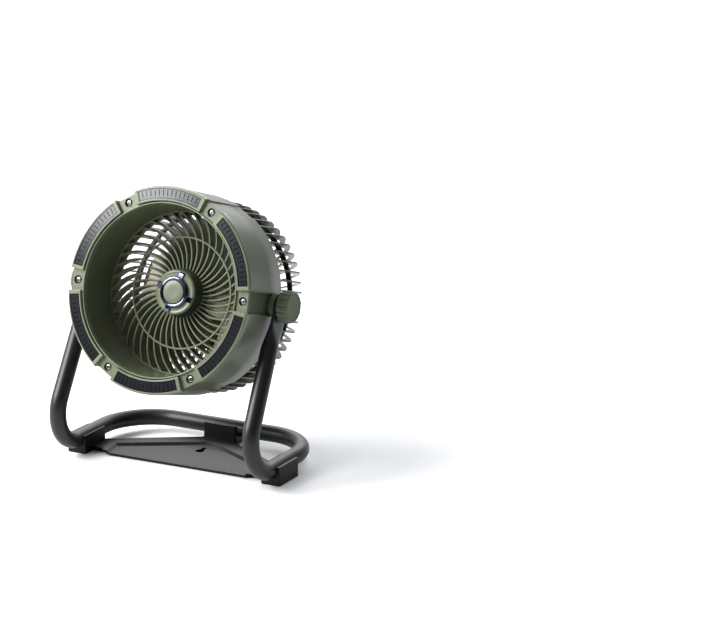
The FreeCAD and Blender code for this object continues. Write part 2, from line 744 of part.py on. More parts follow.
def pod_cover():
    body = disc(POD_R, POD_BACK, COVER_BACK)
    body = body.makeFillet(1.2, [body.Edges[2]])
    half_w = SOCKET_WIDTH / 2 + 0.3
    half_h = SOCKET_HEIGHT / 2 + 0.3
    cutters = [
        disc(POWER_BUTTON_R + GAP, POD_BACK - 1, COVER_BACK + 1, 0, POWER_BUTTON_Z),
        disc(LIGHT_BUTTON_R + GAP, POD_BACK - 1, COVER_BACK + 1, LIGHT_BUTTON_X, LIGHT_BUTTON_Z),
        block(SOCKET_X - half_w, SOCKET_X + half_w, POD_BACK - 1, COVER_BACK + 1,
              SOCKET_Z - half_h, SOCKET_Z + half_h),
    ]
    cutters += [disc(1.0, POD_BACK - 1, COVER_BACK + 1, x, INDICATOR_Z) for x in INDICATOR_XS]
    hole = disc(1.3, POD_BACK - 1, COVER_BACK + 1, COVER_SCREW_R)
    hole = hole.fuse(disc(2.5, COVER_BACK - 1.0, COVER_BACK + 1, COVER_SCREW_R))
    cutters += [spin(hole, a) for a in COVER_SCREW_ANGLES]
    return body.cut(cutters)


def cover_screws():
    shank = disc(1.15, POD_BACK - 8, COVER_BACK - 0.5, COVER_SCREW_R)
    head = disc(2.4, COVER_BACK - 1.0, COVER_BACK - 0.2, COVER_SCREW_R)
    screw = shank.fuse(head)
    return Part.makeCompound([spin(screw, a) for a in COVER_SCREW_ANGLES])


def battery_cell(index):
    half = CELL_LENGTH / 2
    can = rod_x(CELL_R, -half, half - 1.0, CELL_Y, CELL_Z[index])
    cap = rod_x(3.0, half - 1.2, half, CELL_Y, CELL_Z[index])
    return can.fuse(cap)


def battery_holder():
    """Tray that the two cells lie in, with a raised wall at each end."""
    half = CELL_LENGTH / 2 + 0.3
    low = CELL_Z[0] - CELL_R + 2.0
    high = CELL_Z[1] + CELL_R - 2.0
    tray = block(-half - 1.5, half + 1.5, POD_FRONT + POD_WALL, CELL_Y - 1.0, low, high)
    for z in CELL_Z:
        tray = tray.cut(rod_x(CELL_R + 0.1, -half, half, CELL_Y, z))
    screw_space = around(disc(2.6, POD_FRONT, CELL_Y, MOTOR_SCREW_R), 3, MOTOR_SCREW_START)
    return tray.cut(screw_space)


def control_board():
    plate = block(-BOARD_HALF, BOARD_HALF, BOARD_Y, BOARD_Y + BOARD_THICK, BOARD_LOW, BOARD_HIGH)
    top = BOARD_Y + BOARD_THICK
    controller = block(-6.0, 1.0, top, top + 1.0, 10.5, 15.0)
    coil = block(6.0, 12.0, BOARD_Y - 4.0, BOARD_Y, 13.0, 19.0)
    capacitor = disc(3.0, BOARD_Y - 7.0, BOARD_Y, -10.0, 24.0)
    return union([plate, controller, coil, capacitor])


def tact_switches():
    top = BOARD_Y + BOARD_THICK
    switches = []
    for x, z in ((0, POWER_BUTTON_Z), (LIGHT_BUTTON_X, LIGHT_BUTTON_Z)):
        switches.append(block(x - 3, x + 3, top, top + 3.0, z - 3, z + 3))
    return Part.makeCompound(switches)


def usb_socket():
    """Metal shell of the charging inlet, with its contact tongue."""
    half_w = SOCKET_WIDTH / 2
    half_h = SOCKET_HEIGHT / 2
    top = BOARD_Y + BOARD_THICK
    back = COVER_BACK - 0.6
    shell = block(SOCKET_X - half_w, SOCKET_X + half_w, top, back,
                  SOCKET_Z - half_h, SOCKET_Z + half_h)
    hollow = block(SOCKET_X - half_w + 0.3, SOCKET_X + half_w - 0.3, back - 6.2, back + 1,
                   SOCKET_Z - half_h + 0.3, SOCKET_Z + half_h - 0.3)
    tongue = block(SOCKET_X - 3.3, SOCKET_X + 3.3, back - 6.4, back - 1.0,
                   SOCKET_Z - 0.35, SOCKET_Z + 0.35)
    return shell.cut(hollow).fuse(tongue)


def indicator_lights():
    top = BOARD_Y + BOARD_THICK
    pipes = [disc(0.95, top + 2.0, COVER_BACK - 0.1, x, INDICATOR_Z) for x in INDICATOR_XS]
    bar = block(-11.0, 11.0, top, top + 2.5, INDICATOR_Z - 1.5, INDICATOR_Z + 1.5)
    return union(pipes + [bar])


def button(radius, x, z):
    """Cap, retaining skirt and stem of a push button."""
    cap = disc(radius, POD_BACK - 1.2, COVER_BACK + 1.4, x, z)
    cap = cap.makeFillet(0.6, [cap.Edges[2]])
    skirt = disc(radius + 1.2, POD_BACK - 1.2, POD_BACK - GAP, x, z)
    stem = disc(1.8, BOARD_Y + BOARD_THICK + 3.0 + BUTTON_TRAVEL + 0.2, POD_BACK - 1, x, z)
    return union([cap, skirt, stem])


# ---------------------------------------------------------------------------
# Pivots: spacer, insert, bolt and clamp knob on the right; the left mirrors it
# ---------------------------------------------------------------------------

def pivot_spacer():
    """Collar with a neck that fits the flat of the lug."""
    neck_end = DRUM_R_FRONT + 0.2
    collar = rod_x(SPACER_R, neck_end, TAB_INNER - GAP, PIVOT_DEPTH)
    collar = collar.makeFillet(1.2, [max(collar.Edges, key=lambda e: e.BoundBox.XMin)])
    neck = rod_x(LUG_HALF_WIDTH - GAP, LUG_FLAT, neck_end, PIVOT_DEPTH)
    body = union([neck, collar])
    return body.cut(rod_x(BOLT_R + 0.35, LUG_FLAT - 1, TAB_INNER + 1, PIVOT_DEPTH))


def pivot_insert():
    body = rod_x(INSERT_R, INSERT_START, LUG_FLAT, PIVOT_DEPTH)
    return body.cut(rod_x(BOLT_R + 0.08, INSERT_START - 1, LUG_FLAT + 1, PIVOT_DEPTH))


def clamp_knob():
    """Fluted knob moulded round the head of its bolt."""
    length = KNOB_OUTER - KNOB_INNER
    body = rod_x(KNOB_R, KNOB_INNER, KNOB_OUTER, PIVOT_DEPTH)
    face_edge = max(body.Edges, key=lambda e: e.BoundBox.XMin)
    body = body.makeChamfer(KNOB_R - KNOB_FACE_R, [face_edge])
    flute = rod_x(2.2, KNOB_INNER - 1, KNOB_INNER + 0.86 * length, PIVOT_DEPTH, KNOB_R + 1.4)
    for i in range(KNOB_FLUTES):
        cutter = flute.copy()
        cutter.rotate(V(0, PIVOT_DEPTH, 0), V(1, 0, 0), i * 360.0 / KNOB_FLUTES)
        body = body.cut(cutter)
    dish = rod_x(KNOB_FACE_R - 1.6, KNOB_OUTER - 0.5, KNOB_OUTER + 1, PIVOT_DEPTH)
    body = body.cut(dish)
    return body.cut(clamp_bolt())


def clamp_bolt():
    shank = rod_x(BOLT_R, INSERT_START + 1, KNOB_INNER + 3, PIVOT_DEPTH)
    corners = []
    for i in range(7):
        angle = math.radians(60 * i)
        corners.append(V(KNOB_INNER + 2.5, PIVOT_DEPTH + 7.5 * math.cos(angle),
                         7.5 * math.sin(angle)))
    head = Part.Face(Part.makePolygon(corners)).extrude(V(5.0, 0, 0))
    return shank.fuse(head)


# ---------------------------------------------------------------------------
# Stand, drawn in the row frame
# ---------------------------------------------------------------------------

LEAN = math.radians(TUBE_LEAN)
PIVOT_RISE = (PIVOT_Z - TUBE_Z) / math.cos(LEAN)


def leaned(y, rise):
    """Point of the right leg's plane, which leans inwards over the floor run."""
    return V(TUBE_X - rise * math.sin(LEAN), y, TUBE_Z + rise * math.cos(LEAN))


def leg_geometry():
    """Tangent point of the leg on its front bend, and the leg's direction (y, rise)."""
    dy = PIVOT_Y - FRONT_BEND_Y
    dr = PIVOT_RISE - FRONT_BEND_R
    reach = math.hypot(dy, dr)
    angle = math.atan2(dr, dy) + math.acos(FRONT_BEND_R / reach)
    tangent = (FRONT_BEND_Y + FRONT_BEND_R * math.cos(angle),
               FRONT_BEND_R + FRONT_BEND_R * math.sin(angle))
    length = math.hypot(PIVOT_Y - tangent[0], PIVOT_RISE - tangent[1])
    direction = ((PIVOT_Y - tangent[0]) / length, (PIVOT_RISE - tangent[1]) / length)
    return angle, tangent, direction


BEND_ANGLE, TANGENT, LEG = leg_geometry()


def leg_point(distance):
    """Point on the right leg's line, so far below the pivot."""
    return leaned(PIVOT_Y - distance * LEG[0], PIVOT_RISE - distance * LEG[1])


def tube_path():
    """Centre line from the right leg's top to the left leg's top."""
    middle = (BEND_ANGLE + 1.5 * math.pi) / 2
    bend_middle = leaned(FRONT_BEND_Y + FRONT_BEND_R * math.cos(middle),
                         FRONT_BEND_R + FRONT_BEND_R * math.sin(middle))
    top = leg_point(CRUSH_LENGTH)
    tangent = leaned(*TANGENT)
    floor = leaned(FRONT_BEND_Y, 0)
    corner_x = TUBE_X - REAR_BEND_R
    corner_y = REAR_BAR_Y - REAR_BEND_R
    diagonal = REAR_BEND_R * math.sqrt(0.5)
    corner_in = V(TUBE_X, corner_y, TUBE_Z)
    corner_middle = V(corner_x + diagonal, corner_y + diagonal, TUBE_Z)
    corner_out = V(corner_x, REAR_BAR_Y, TUBE_Z)

    def other(point):
        return V(-point.x, point.y, point.z)

    return Part.Wire([
        Part.LineSegment(top, tangent).toShape(),
        Part.Arc(tangent, bend_middle, floor).toShape(),
        Part.LineSegment(floor, corner_in).toShape(),
        Part.Arc(corner_in, corner_middle, corner_out).toShape(),
        Part.LineSegment(corner_out, other(corner_out)).toShape(),
        Part.Arc(other(corner_out), other(corner_middle), other(corner_in)).toShape(),
        Part.LineSegment(other(corner_in), other(floor)).toShape(),
        Part.Arc(other(floor), other(bend_middle), other(tangent)).toShape(),
        Part.LineSegment(other(tangent), other(top)).toShape(),
    ])


def sweep_tube(radius):
    path = tube_path()
    start = leg_point(CRUSH_LENGTH)
    direction = leaned(*TANGENT) - start
    profile = Part.Wire([Part.makeCircle(radius, start, direction)])
    return path.makePipeShell([profile], True, False)


def crush_section(distance, half_width, half_thick, x, power):
    """Closed section across the right leg: a circle that flattens to a slab."""
    centre = leg_point(distance)
    across = V(0, LEG[1], -LEG[0])
    points = []
    steps = 24
    for i in range(steps):
        angle = 2 * math.pi * i / steps
        c, s = math.cos(angle), math.sin(angle)
        w = half_width * math.copysign(abs(c) ** power, c)
        t = half_thick * math.copysign(abs(s) ** power, s)
        points.append(V(x + t, centre.y, centre.z) + across * w)
    curve = Part.BSplineCurve()
    curve.interpolate(points, PeriodicFlag=True)
    return Part.Wire([curve.toShape()])


def tube_tab():
    """Flattened end of the right leg, drilled for the clamp bolt."""
    middle_x = TAB_INNER + TAB_THICK / 2
    leg_x = leg_point(CRUSH_LENGTH).x
    stages = [
        (CRUSH_LENGTH + 3.0, 0.0),
        (CRUSH_LENGTH - 4.0, 0.03),
        ((CRUSH_LENGTH + TAB_LENGTH) / 2, 0.5),
        (TAB_LENGTH + 4.0, 0.96),
        (TAB_LENGTH - 1.0, 1.0),
    ]
    sections = []
    for distance, flat in stages:
        half_width = CRUSH_R + flat * (TAB_R - 0.1 - CRUSH_R)
        half_thick = CRUSH_R + flat * (TAB_THICK / 2 - 0.1 - CRUSH_R)
        x = leg_x + flat * (middle_x - leg_x)
        sections.append(crush_section(distance, half_width, half_thick, x, 1 - 0.55 * flat))
    crush = Part.makeLoft(sections, True, False)
    eye = rod_x(TAB_R, TAB_INNER, TAB_INNER + TAB_THICK, PIVOT_Y, PIVOT_Z)
    down = V(0, -LEG[0], -LEG[1])
    across = V(0, LEG[1], -LEG[0])
    centre = V(TAB_INNER, PIVOT_Y, PIVOT_Z)
    corners = [
        centre + across * TAB_R,
        centre - across * TAB_R,
        centre - across * TAB_R + down * TAB_LENGTH,
        centre + across * TAB_R + down * TAB_LENGTH,
    ]
    slab = Part.Face(Part.makePolygon(corners + corners[:1])).extrude(V(TAB_THICK, 0, 0))
    body = union([crush, eye, slab])
    return body.cut(rod_x(TAB_HOLE_R, TAB_INNER - 5, TAB_INNER + 10, PIVOT_Y, PIVOT_Z))


FOOT_SCREW_Y = (FOOT_FRONT + 9.0, FOOT_FRONT + 30.5)
REAR_SCREW_X = (-11.0, 11.0)


def screw_places():
    places = [(side * TUBE_X, y) for side in (-1, 1) for y in FOOT_SCREW_Y]
    return places + [(x, REAR_BAR_Y) for x in REAR_SCREW_X]


def stand_tube():
    hollow = sweep_tube(TUBE_R).cut(sweep_tube(TUBE_R - TUBE_WALL))
    tab = tube_tab()
    body = union([hollow, tab, mirrored(tab)])
    return body.cut([rod_z(1.6, 0, TUBE_Z, x, y) for x, y in screw_places()])


def foot_screws():
    screws = []
    for x, y in screw_places():
        head = rod_z(3.0, PAD_THICK, PAD_THICK + 1.6, x, y)
        screws.append(head.fuse(rod_z(1.5, PAD_THICK, 9.5, x, y)))
    return Part.makeCompound(screws)


def foot_block(side, plate):
    """Saddle under one end of the floor run; side is -1 left, +1 right."""
    x = side * FOOT_X
    half = FOOT_WIDTH / 2
    back = FOOT_FRONT + FOOT_LENGTH
    body = block(x - half, x + half, FOOT_FRONT, back, FOOT_BOTTOM, FOOT_TOP)
    body = body.makeFillet(1.0, [e for e in body.Edges if e.BoundBox.ZLength > 5])
    saddle = Part.makeCylinder(TUBE_R + 0.05, FOOT_LENGTH + 2,
                               V(side * TUBE_X, FOOT_FRONT - 1, TUBE_Z), V(0, 1, 0))
    throat = block(side * TUBE_X - 8.2, side * TUBE_X + 8.2, FOOT_FRONT - 1, back + 1,
                   TUBE_Z + 3, FOOT_TOP + 1)
    cutters = [saddle, throat, pad_shape(x, FOOT_FRONT + FOOT_LENGTH / 2, half, FOOT_LENGTH / 2)]
    for y in FOOT_SCREW_Y:
        cutters.append(rod_z(1.6, 0, TUBE_Z, side * TUBE_X, y))
        cutters.append(rod_z(3.1, 0, PAD_THICK + 1.7, side * TUBE_X, y))
    return body.cut(cutters + [plate])


def rear_foot_block(plate):
    depth_front = 10.2
    depth_back = 10.8
    front = REAR_BAR_Y - depth_front
    back = REAR_BAR_Y + depth_back
    body = block(-REAR_FOOT_HALF, REAR_FOOT_HALF, front, back, FOOT_BOTTOM, FOOT_TOP)
    body = body.makeFillet(1.0, [e for e in body.Edges if e.BoundBox.ZLength > 5])
    saddle = rod_x(TUBE_R + 0.05, -REAR_FOOT_HALF - 1, REAR_FOOT_HALF + 1, REAR_BAR_Y, TUBE_Z)
    throat = block(-REAR_FOOT_HALF - 1, REAR_FOOT_HALF + 1, REAR_BAR_Y - 8.2, REAR_BAR_Y + 8.2,
                   TUBE_Z + 3, FOOT_TOP + 1)
    middle = (front + back) / 2
    cutters = [saddle, throat, pad_shape(0, middle, REAR_FOOT_HALF, (back - front) / 2)]
    for x in REAR_SCREW_X:
        cutters.append(rod_z(1.6, 0, TUBE_Z, x, REAR_BAR_Y))
        cutters.append(rod_z(3.1, 0, PAD_THICK + 1.7, x, REAR_BAR_Y))
    return body.cut(cutters + [plate])


def pad_shape(x, y, half_x, half_y):
    margin = 2.0
    return block(x - half_x + margin, x + half_x - margin, y - half_y + margin,
                 y + half_y - margin, 0, PAD_THICK)


def foot_pads():
    y_front = FOOT_FRONT + FOOT_LENGTH / 2
    pads = [pad_shape(side * FOOT_X, y_front, FOOT_WIDTH / 2, FOOT_LENGTH / 2)
            for side in (-1, 1)]
    pads.append(pad_shape(0, REAR_BAR_Y + 0.3, REAR_FOOT_HALF, 10.5))
    return Part.makeCompound(pads)


def base_plate():
    """Pressed sheet: a raised rim round a sunken panel that is open at the front."""
    front = PLATE_FRONT
    ear_front = front + 5.0
    ear_back = PIVOT_Y + 7.0
    rear_edge = REAR_BAR_Y - 14.5
    ear_x = 110.0
    right = [
        (88.0, front),
        (93.0, ear_front),
        (ear_x, ear_front),
        (ear_x, ear_back),
        (104.0, ear_back + 4.5),
        (18.0, rear_edge),
        (18.0, REAR_BAR_Y - 5.0),
    ]
    outline = right + [(-x, y) for x, y in reversed(right)]
    rim = prism(outline, PLATE_RIM_Z - PLATE_THICK, PLATE_RIM_Z)

    def pan_outline(grow):
        side = 84.0 + grow
        corner = 88.5 + grow
        half_tip = 8.0 + 0.3 * grow
        back_corner = PIVOT_Y + 3.0 + 0.4 * grow
        tip = PIVOT_Y + 48.0 + grow
        points = [(side, front - 12), (side, front), (corner, back_corner), (half_tip, tip)]
        return points + [(-x, y) for x, y in reversed(points)]

    slope = 3.2
    pan = tapered(pan_outline(1.5 - slope), PLATE_PAN_Z - PLATE_THICK,
                  pan_outline(1.5), PLATE_RIM_Z)
    hollow = tapered(pan_outline(-slope), PLATE_PAN_Z, pan_outline(0), PLATE_RIM_Z + 0.01)
    lip = block(-82.0, 82.0, front, front + PLATE_THICK, FOOT_BOTTOM, PLATE_PAN_Z)
    body = rim.fuse(pan).cut(hollow)
    body = body.common(block(-200, 200, front, 200, 0, 20)).fuse(lip).removeSplitter()
    slot = block(-KEYHOLE_SLOT_R, KEYHOLE_SLOT_R, KEYHOLE_Y, KEYHOLE_SLOT_END, 0, 10)
    keyhole = rod_z(KEYHOLE_R, 0, 10, 0, KEYHOLE_Y).fuse(slot)
    keyhole = keyhole.fuse(rod_z(KEYHOLE_SLOT_R, 0, 10, 0, KEYHOLE_SLOT_END))
    return body.cut(keyhole)


# ---------------------------------------------------------------------------
# Assembly
# ---------------------------------------------------------------------------

def head_parts():
    parts = {
        "front_bezel": front_bezel(),
        "bezel_screws": bezel_screws(),
        "led_boards": Part.makeCompound([led_board(angle) for angle in PANEL_ANGLES]),
        "drum_shell": drum_shell(),
        "front_duct": front_duct(),
        "front_grille": front_grille(),
        "hub_cone": hub_cone(),
        "hub_trim": hub_trim(),
        "hub_cap": hub_cap(),
        "hub_screws": hub_screws(),
        "rear_cage": rear_cage(),
        "cage_side_ring": cage_side_ring(),
        "cage_rear_ring": cage_rear_ring(),
        "cage_screws": cage_screws(),
        "led_lead": led_lead(),
        "impeller": impeller(),
        "rotor_can": rotor_can(),
        "rotor_magnets": rotor_magnets(),
        "motor_shaft": motor_shaft(),
        "shaft_clip": shaft_clip(),
        "motor_base": motor_base(),
        "motor_bearings": motor_bearings(),
        "stator_core": stator_core(),
        "stator_coils": stator_coils(),
        "motor_screws": motor_screws(),
        "pod_housing": pod_housing(),
        "pod_cover": pod_cover(),
        "cover_screws": cover_screws(),
        "battery_cell_lower": battery_cell(0),
        "battery_cell_upper": battery_cell(1),
        "battery_holder": battery_holder(),
        "control_board": control_board(),
        "tact_switches": tact_switches(),
        "usb_socket": usb_socket(),
        "indicator_lights": indicator_lights(),
        "power_button": button(POWER_BUTTON_R, 0, POWER_BUTTON_Z),
        "light_button": button(LIGHT_BUTTON_R, LIGHT_BUTTON_X, LIGHT_BUTTON_Z),
    }
    for number, angle in enumerate(PANEL_ANGLES, 1):
        parts[f"led_window_{number}"] = led_window(angle)
    for name, make in (("pivot_spacer", pivot_spacer), ("pivot_insert", pivot_insert),
                       ("clamp_knob", clamp_knob), ("clamp_bolt", clamp_bolt)):
        right = make()
        parts[f"{name}_right"] = right
        parts[f"{name}_left"] = mirrored(right)
    return {name: place_head(shape) for name, shape in parts.items()}


def stand_parts():
    plate = base_plate()
    return {
        "stand_tube": stand_tube(),
        "base_plate": plate,
        "foot_block_left": foot_block(-1, plate),
        "foot_block_right": foot_block(1, plate),
        "foot_block_rear": rear_foot_block(plate),
        "foot_pads": foot_pads(),
        "foot_screws": foot_screws(),
    }


def main():
    os.makedirs("parts", exist_ok=True)
    parts = head_parts()
    parts.update(stand_parts())
    whole = Part.makeCompound(list(parts.values())).BoundBox
    for name, shape in sorted(parts.items()):
        solids = len(shape.Solids)
        print(f"{name:22s} solids {solids:3d}  valid {shape.isValid()}  "
              f"volume {shape.Volume / 1000:9.3f} cm3")
        shape.exportStep(f"parts/{name}.step")
    print(f"x {whole.XMin:.2f} {whole.XMax:.2f}  y {whole.YMin:.2f} {whole.YMax:.2f}  "
          f"z {whole.ZMin:.2f} {whole.ZMax:.2f}")


main()
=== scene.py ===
"""Looks of a portable drum-shaped air circulator: meshes, materials, light and camera."""
import json
import math

import bmesh
import bpy
from mathutils import Matrix, Vector


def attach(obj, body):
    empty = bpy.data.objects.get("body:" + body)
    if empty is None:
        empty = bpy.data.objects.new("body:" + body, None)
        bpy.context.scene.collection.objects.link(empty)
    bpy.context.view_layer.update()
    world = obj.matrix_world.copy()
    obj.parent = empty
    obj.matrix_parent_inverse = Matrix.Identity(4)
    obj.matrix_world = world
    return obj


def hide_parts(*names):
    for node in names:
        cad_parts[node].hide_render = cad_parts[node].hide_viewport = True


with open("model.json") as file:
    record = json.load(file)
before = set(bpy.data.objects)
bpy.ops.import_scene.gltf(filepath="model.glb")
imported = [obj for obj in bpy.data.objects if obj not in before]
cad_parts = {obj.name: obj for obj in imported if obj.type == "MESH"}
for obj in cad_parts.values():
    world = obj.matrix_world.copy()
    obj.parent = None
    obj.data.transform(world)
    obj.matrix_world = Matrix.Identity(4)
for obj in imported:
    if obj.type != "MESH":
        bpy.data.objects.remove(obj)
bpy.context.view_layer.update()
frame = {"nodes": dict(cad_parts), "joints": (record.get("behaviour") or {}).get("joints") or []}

# ---------------------------------------------------------------------------
# Sizes in millimetres and degrees. Head pieces are drawn in the head's own
# frame: y runs back along its axis from the screw lugs, x right, z up.
# Angles round the axis start at +x and turn towards +z.
# ---------------------------------------------------------------------------
MM = 0.001
SHARP_TURN = math.radians(32.0)
SLIGHT_TURN = math.radians(1.0)
FLAT_TURN = math.radians(0.4)
BIG_FACE = 12.0
PIVOT_DEPTH = 50.0
LUGS = 6
LUG_PITCH = 60.0
LUG_HALF_WIDTH = 10.7
LUG_FLAT = 102.6
LUG_STEP = 104.0
PANEL_END = 6.4
PANEL_FACE = -4.0
PANEL_R_IN = 90.0
PANEL_R_OUT = 105.4
MOUTH_R = 87.5
MOUTH_LIP_R = 89.4
MOUTH_FACE = -2.0
BEZEL_BACK = 3.0
SCREW_CIRCLE = 96.5
RECESS_R = 4.4
WINDOW_R_IN = 92.0
WINDOW_R_OUT = 103.0
WINDOW_HALF_ANGLE = 21.3
WINDOW_FACE = -3.4
WINDOW_THICK = 2.0
DRUM_R_FRONT = 105.0
DRUM_R_REAR = 104.0
DRUM_BACK = 66.0
DRUM_WALL = 2.4
DRUM_FLOOR = 60.0
DUCT_R_FRONT = 87.3
DUCT_R_REAR = 83.5
DUCT_WALL = 1.8
VANE_FACE = 45.0
VANE_DEPTH = 13.0
VANE_COUNT = 42
VANE_THICK = 1.8
VANE_ROOT_R = 25.0
VANE_CURVE_R = 49.3
VANE_HEADING = 2.0
VANE_TURN = 78.5
MID_RING_R = 57.0
HUB_R_FACE = 23.0
HUB_FACE = 31.0
CAP_R = 11.8
CAP_FACE = 27.8
TRIM_R_IN = 12.0
TRIM_R_OUT = 16.2
TRIM_FACE = 28.2
CLAW_START = 72.0
CLAW_REACH = 21.8
FIN_COUNT = 60
FIN_THICK = 1.6
FIN_R_OUT = 100.5
FIN_DEPTH = 8.5
FIN_START = 3.0
FIN_EASE = 1.5
HOOP_Y = 107.0
CAGE_BACK = 135.0
CAGE_CORNER_R = 22.0
CAGE_START = 62.4
BLADE_COUNT = 3
BLADE_TIP_R = 80.0
BLADE_ROOT_R = 23.2
BLADE_MID = 97.0
BLADE_HALF_ROOT = 46.0
BLADE_HALF_GROWTH = 8.0
BLADE_ROUND_FROM = 0.72
BLADE_SWEEP_ROOT = -14.0
BLADE_SWEEP = 36.0
BLADE_DEPTH_ROOT = 31.0
BLADE_DEPTH_LOSS = 5.0
BLADE_CAMBER = 2.5
IMPELLER_FRONT = 79.0
IMPELLER_BACK = 113.0
POD_R = 48.0
POD_BACK = 137.0
COVER_THICK = 2.0
COVER_SCREW_R = 43.0
COVER_SCREW_ANGLES = (45.0, 135.0, 250.0, 290.0)
POWER_HOLE_R = 7.3
POWER_HOLE_Z = 21.0
LIGHT_HOLE_R = 4.8
LIGHT_HOLE = (20.0, 19.0)
SOCKET_HOLE_X = (-24.8, -15.2)
SOCKET_HOLE_Z = (17.1, 20.9)
INDICATOR_XS = (-9.0, -3.0, 3.0, 9.0)
INDICATOR_Z = 34.0
KNOB_R = 16.5
KNOB_FACE_R = 15.0
KNOB_OUTER = 127.6
KNOB_INNER = 115.6
KNOB_FLUTES = 16
TUBE_R = 8.7
TUBE_X = 115.1
TUBE_Z = 15.5
TUBE_LEAN = math.radians(1.68)
FRONT_BEND_R = 36.6
FRONT_BEND_SETBACK = 29.7
REAR_BEND_R = 56.0
REAR_BAR_SETBACK = 77.5
TAB_INNER = 111.3
TAB_THICK = 4.0
TAB_R = 12.5
CRUSH_LENGTH = 46.0
TAB_LENGTH = 20.0

JOINTS = {joint["name"]: joint for joint in frame["joints"]}
PIVOT = Vector(JOINTS["head_tilt"]["pos_m"])
BLOW_AXIS = Vector(JOINTS["impeller_spin"]["axis"])
HEAD_TILT = math.atan2(-BLOW_AXIS.z, BLOW_AXIS.y)
HEAD = (Matrix.Translation(PIVOT) @ Matrix.Rotation(-HEAD_TILT, 4, "X")
        @ Matrix.Translation((0, -PIVOT_DEPTH * MM, 0)) @ Matrix.Scale(MM, 4))
ROW = Matrix.Scale(MM, 4)
PIVOT_Y = PIVOT.y / MM
PIVOT_Z = PIVOT.z / MM


# ---------------------------------------------------------------------------
# Mesh helpers: each builder gives (points, faces)
# ---------------------------------------------------------------------------

def polar(radius, angle, y):
    a = math.radians(angle)
    return (radius * math.cos(a), y, radius * math.sin(a))


def rounded(outline, radius, steps=4):
    """Closed 2-D outline with every corner rounded."""
    result = []
    count = len(outline)
    for i in range(count):
        corner = Vector(outline[i])
        before = Vector(outline[i - 1]) - corner
        after = Vector(outline[(i + 1) % count]) - corner
        reach = min(radius, 0.45 * before.length, 0.45 * after.length)
        start = corner + before.normalized() * reach
        end = corner + after.normalized() * reach
        for j in range(steps + 1):
            t = j / steps
            point = start * (1 - t) ** 2 + corner * 2 * t * (1 - t) + end * t * t
            result.append((point.x, point.y))
    return result


def loft(rows, ring=False):
    """Skin over closed loops of equal length; ring joins the last loop to the first."""
    size = len(rows[0])
    points = [p for row in rows for p in row]
    faces = []
    for i in range(len(rows) if ring else len(rows) - 1):
        j = (i + 1) % len(rows)
        for k in range(size):
            m = (k + 1) % size
            faces.append((i * size + k, i * size + m, j * size + m, j * size + k))
    if not ring:
        faces.append(tuple(range(size - 1, -1, -1)))
        last = (len(rows) - 1) * size
        faces.append(tuple(range(last, last + size)))
    return points, faces


def lathe(outline, segments):
    """Closed (r, y) outline turned about the head's axis."""
    rows = [[polar(r, 360.0 * i / segments, y) for r, y in outline] for i in range(segments)]
    return loft(rows, ring=True)


def turned(shape, angle):
    """Copy turned about the head's axis, from +x towards +z."""
    turn = Matrix.Rotation(math.radians(-angle), 3, "Y")
    return [tuple(turn @ Vector(p)) for p in shape[0]], shape[1]


def joined(shapes):
    points, faces = [], []
    for more_points, more_faces in shapes:
        offset = len(points)
        points += more_points
        faces += [tuple(v + offset for v in face) for face in more_faces]
    return points, faces


def around(shape, count, start=0.0):
    return joined([turned(shape, start + i * 360.0 / count) for i in range(count)])


def mesh_of(name, shape, matrix):
    """Clean mesh: merged doubles, no empty faces or loose edges, normals outward."""
    mesh = bpy.data.meshes.new(name)
    mesh.from_pydata([matrix @ Vector(p) for p in shape[0]], [], shape[1])
    mesh.validate()
    work = bmesh.new()
    work.from_mesh(mesh)
    bmesh.ops.remove_doubles(work, verts=work.verts, dist=2e-6)
    bmesh.ops.dissolve_degenerate(work, dist=1e-7, edges=work.edges)
    loose = [edge for edge in work.edges if not edge.link_faces]
    bmesh.ops.delete(work, geom=loose, context="EDGES")
    bmesh.ops.recalc_face_normals(work, faces=work.faces)
    work.to_mesh(mesh)
    work.free()
    return mesh


def shade(mesh):
    mesh.polygons.foreach_set("use_smooth", [True] * len(mesh.polygons))
    mesh.set_sharp_from_angle(angle=SHARP_TURN)


def add_bevel(piece, width, angle=35.0, clamp=False):
    """Rounds every edge that turns by more than the angle."""
    bevel = piece.modifiers.new("edges", "BEVEL")
    bevel.width = width * MM
    bevel.segments = 2
    bevel.limit_method = "ANGLE"
    bevel.angle_limit = math.radians(angle)
    bevel.use_clamp_overlap = clamp
    bevel.harden_normals = True


def put(name, shape, body, material, nodes=(), matrix=HEAD, bevel=0.0):
    """New piece from a shape: riding on a body, with its finish, in place of CAD nodes."""
    mesh = mesh_of(name, shape, matrix)
    shade(mesh)
    piece = bpy.data.objects.new(name, mesh)
    bpy.context.scene.collection.objects.link(piece)
    mesh.materials.append(material)
    if bevel:
        add_bevel(piece, bevel)
    if nodes:
        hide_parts(*nodes)
    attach(piece, body)
    return piece


def creased(edge):
    """True where shading breaks: a sharp turn, or a big flat face beside small facets."""
    if len(edge.link_faces) != 2:
        return True
    turn = edge.calc_face_angle(0.0)
    small, large = sorted(face.calc_area() for face in edge.link_faces)
    return turn > SHARP_TURN or (turn > SLIGHT_TURN and large > BIG_FACE * small)


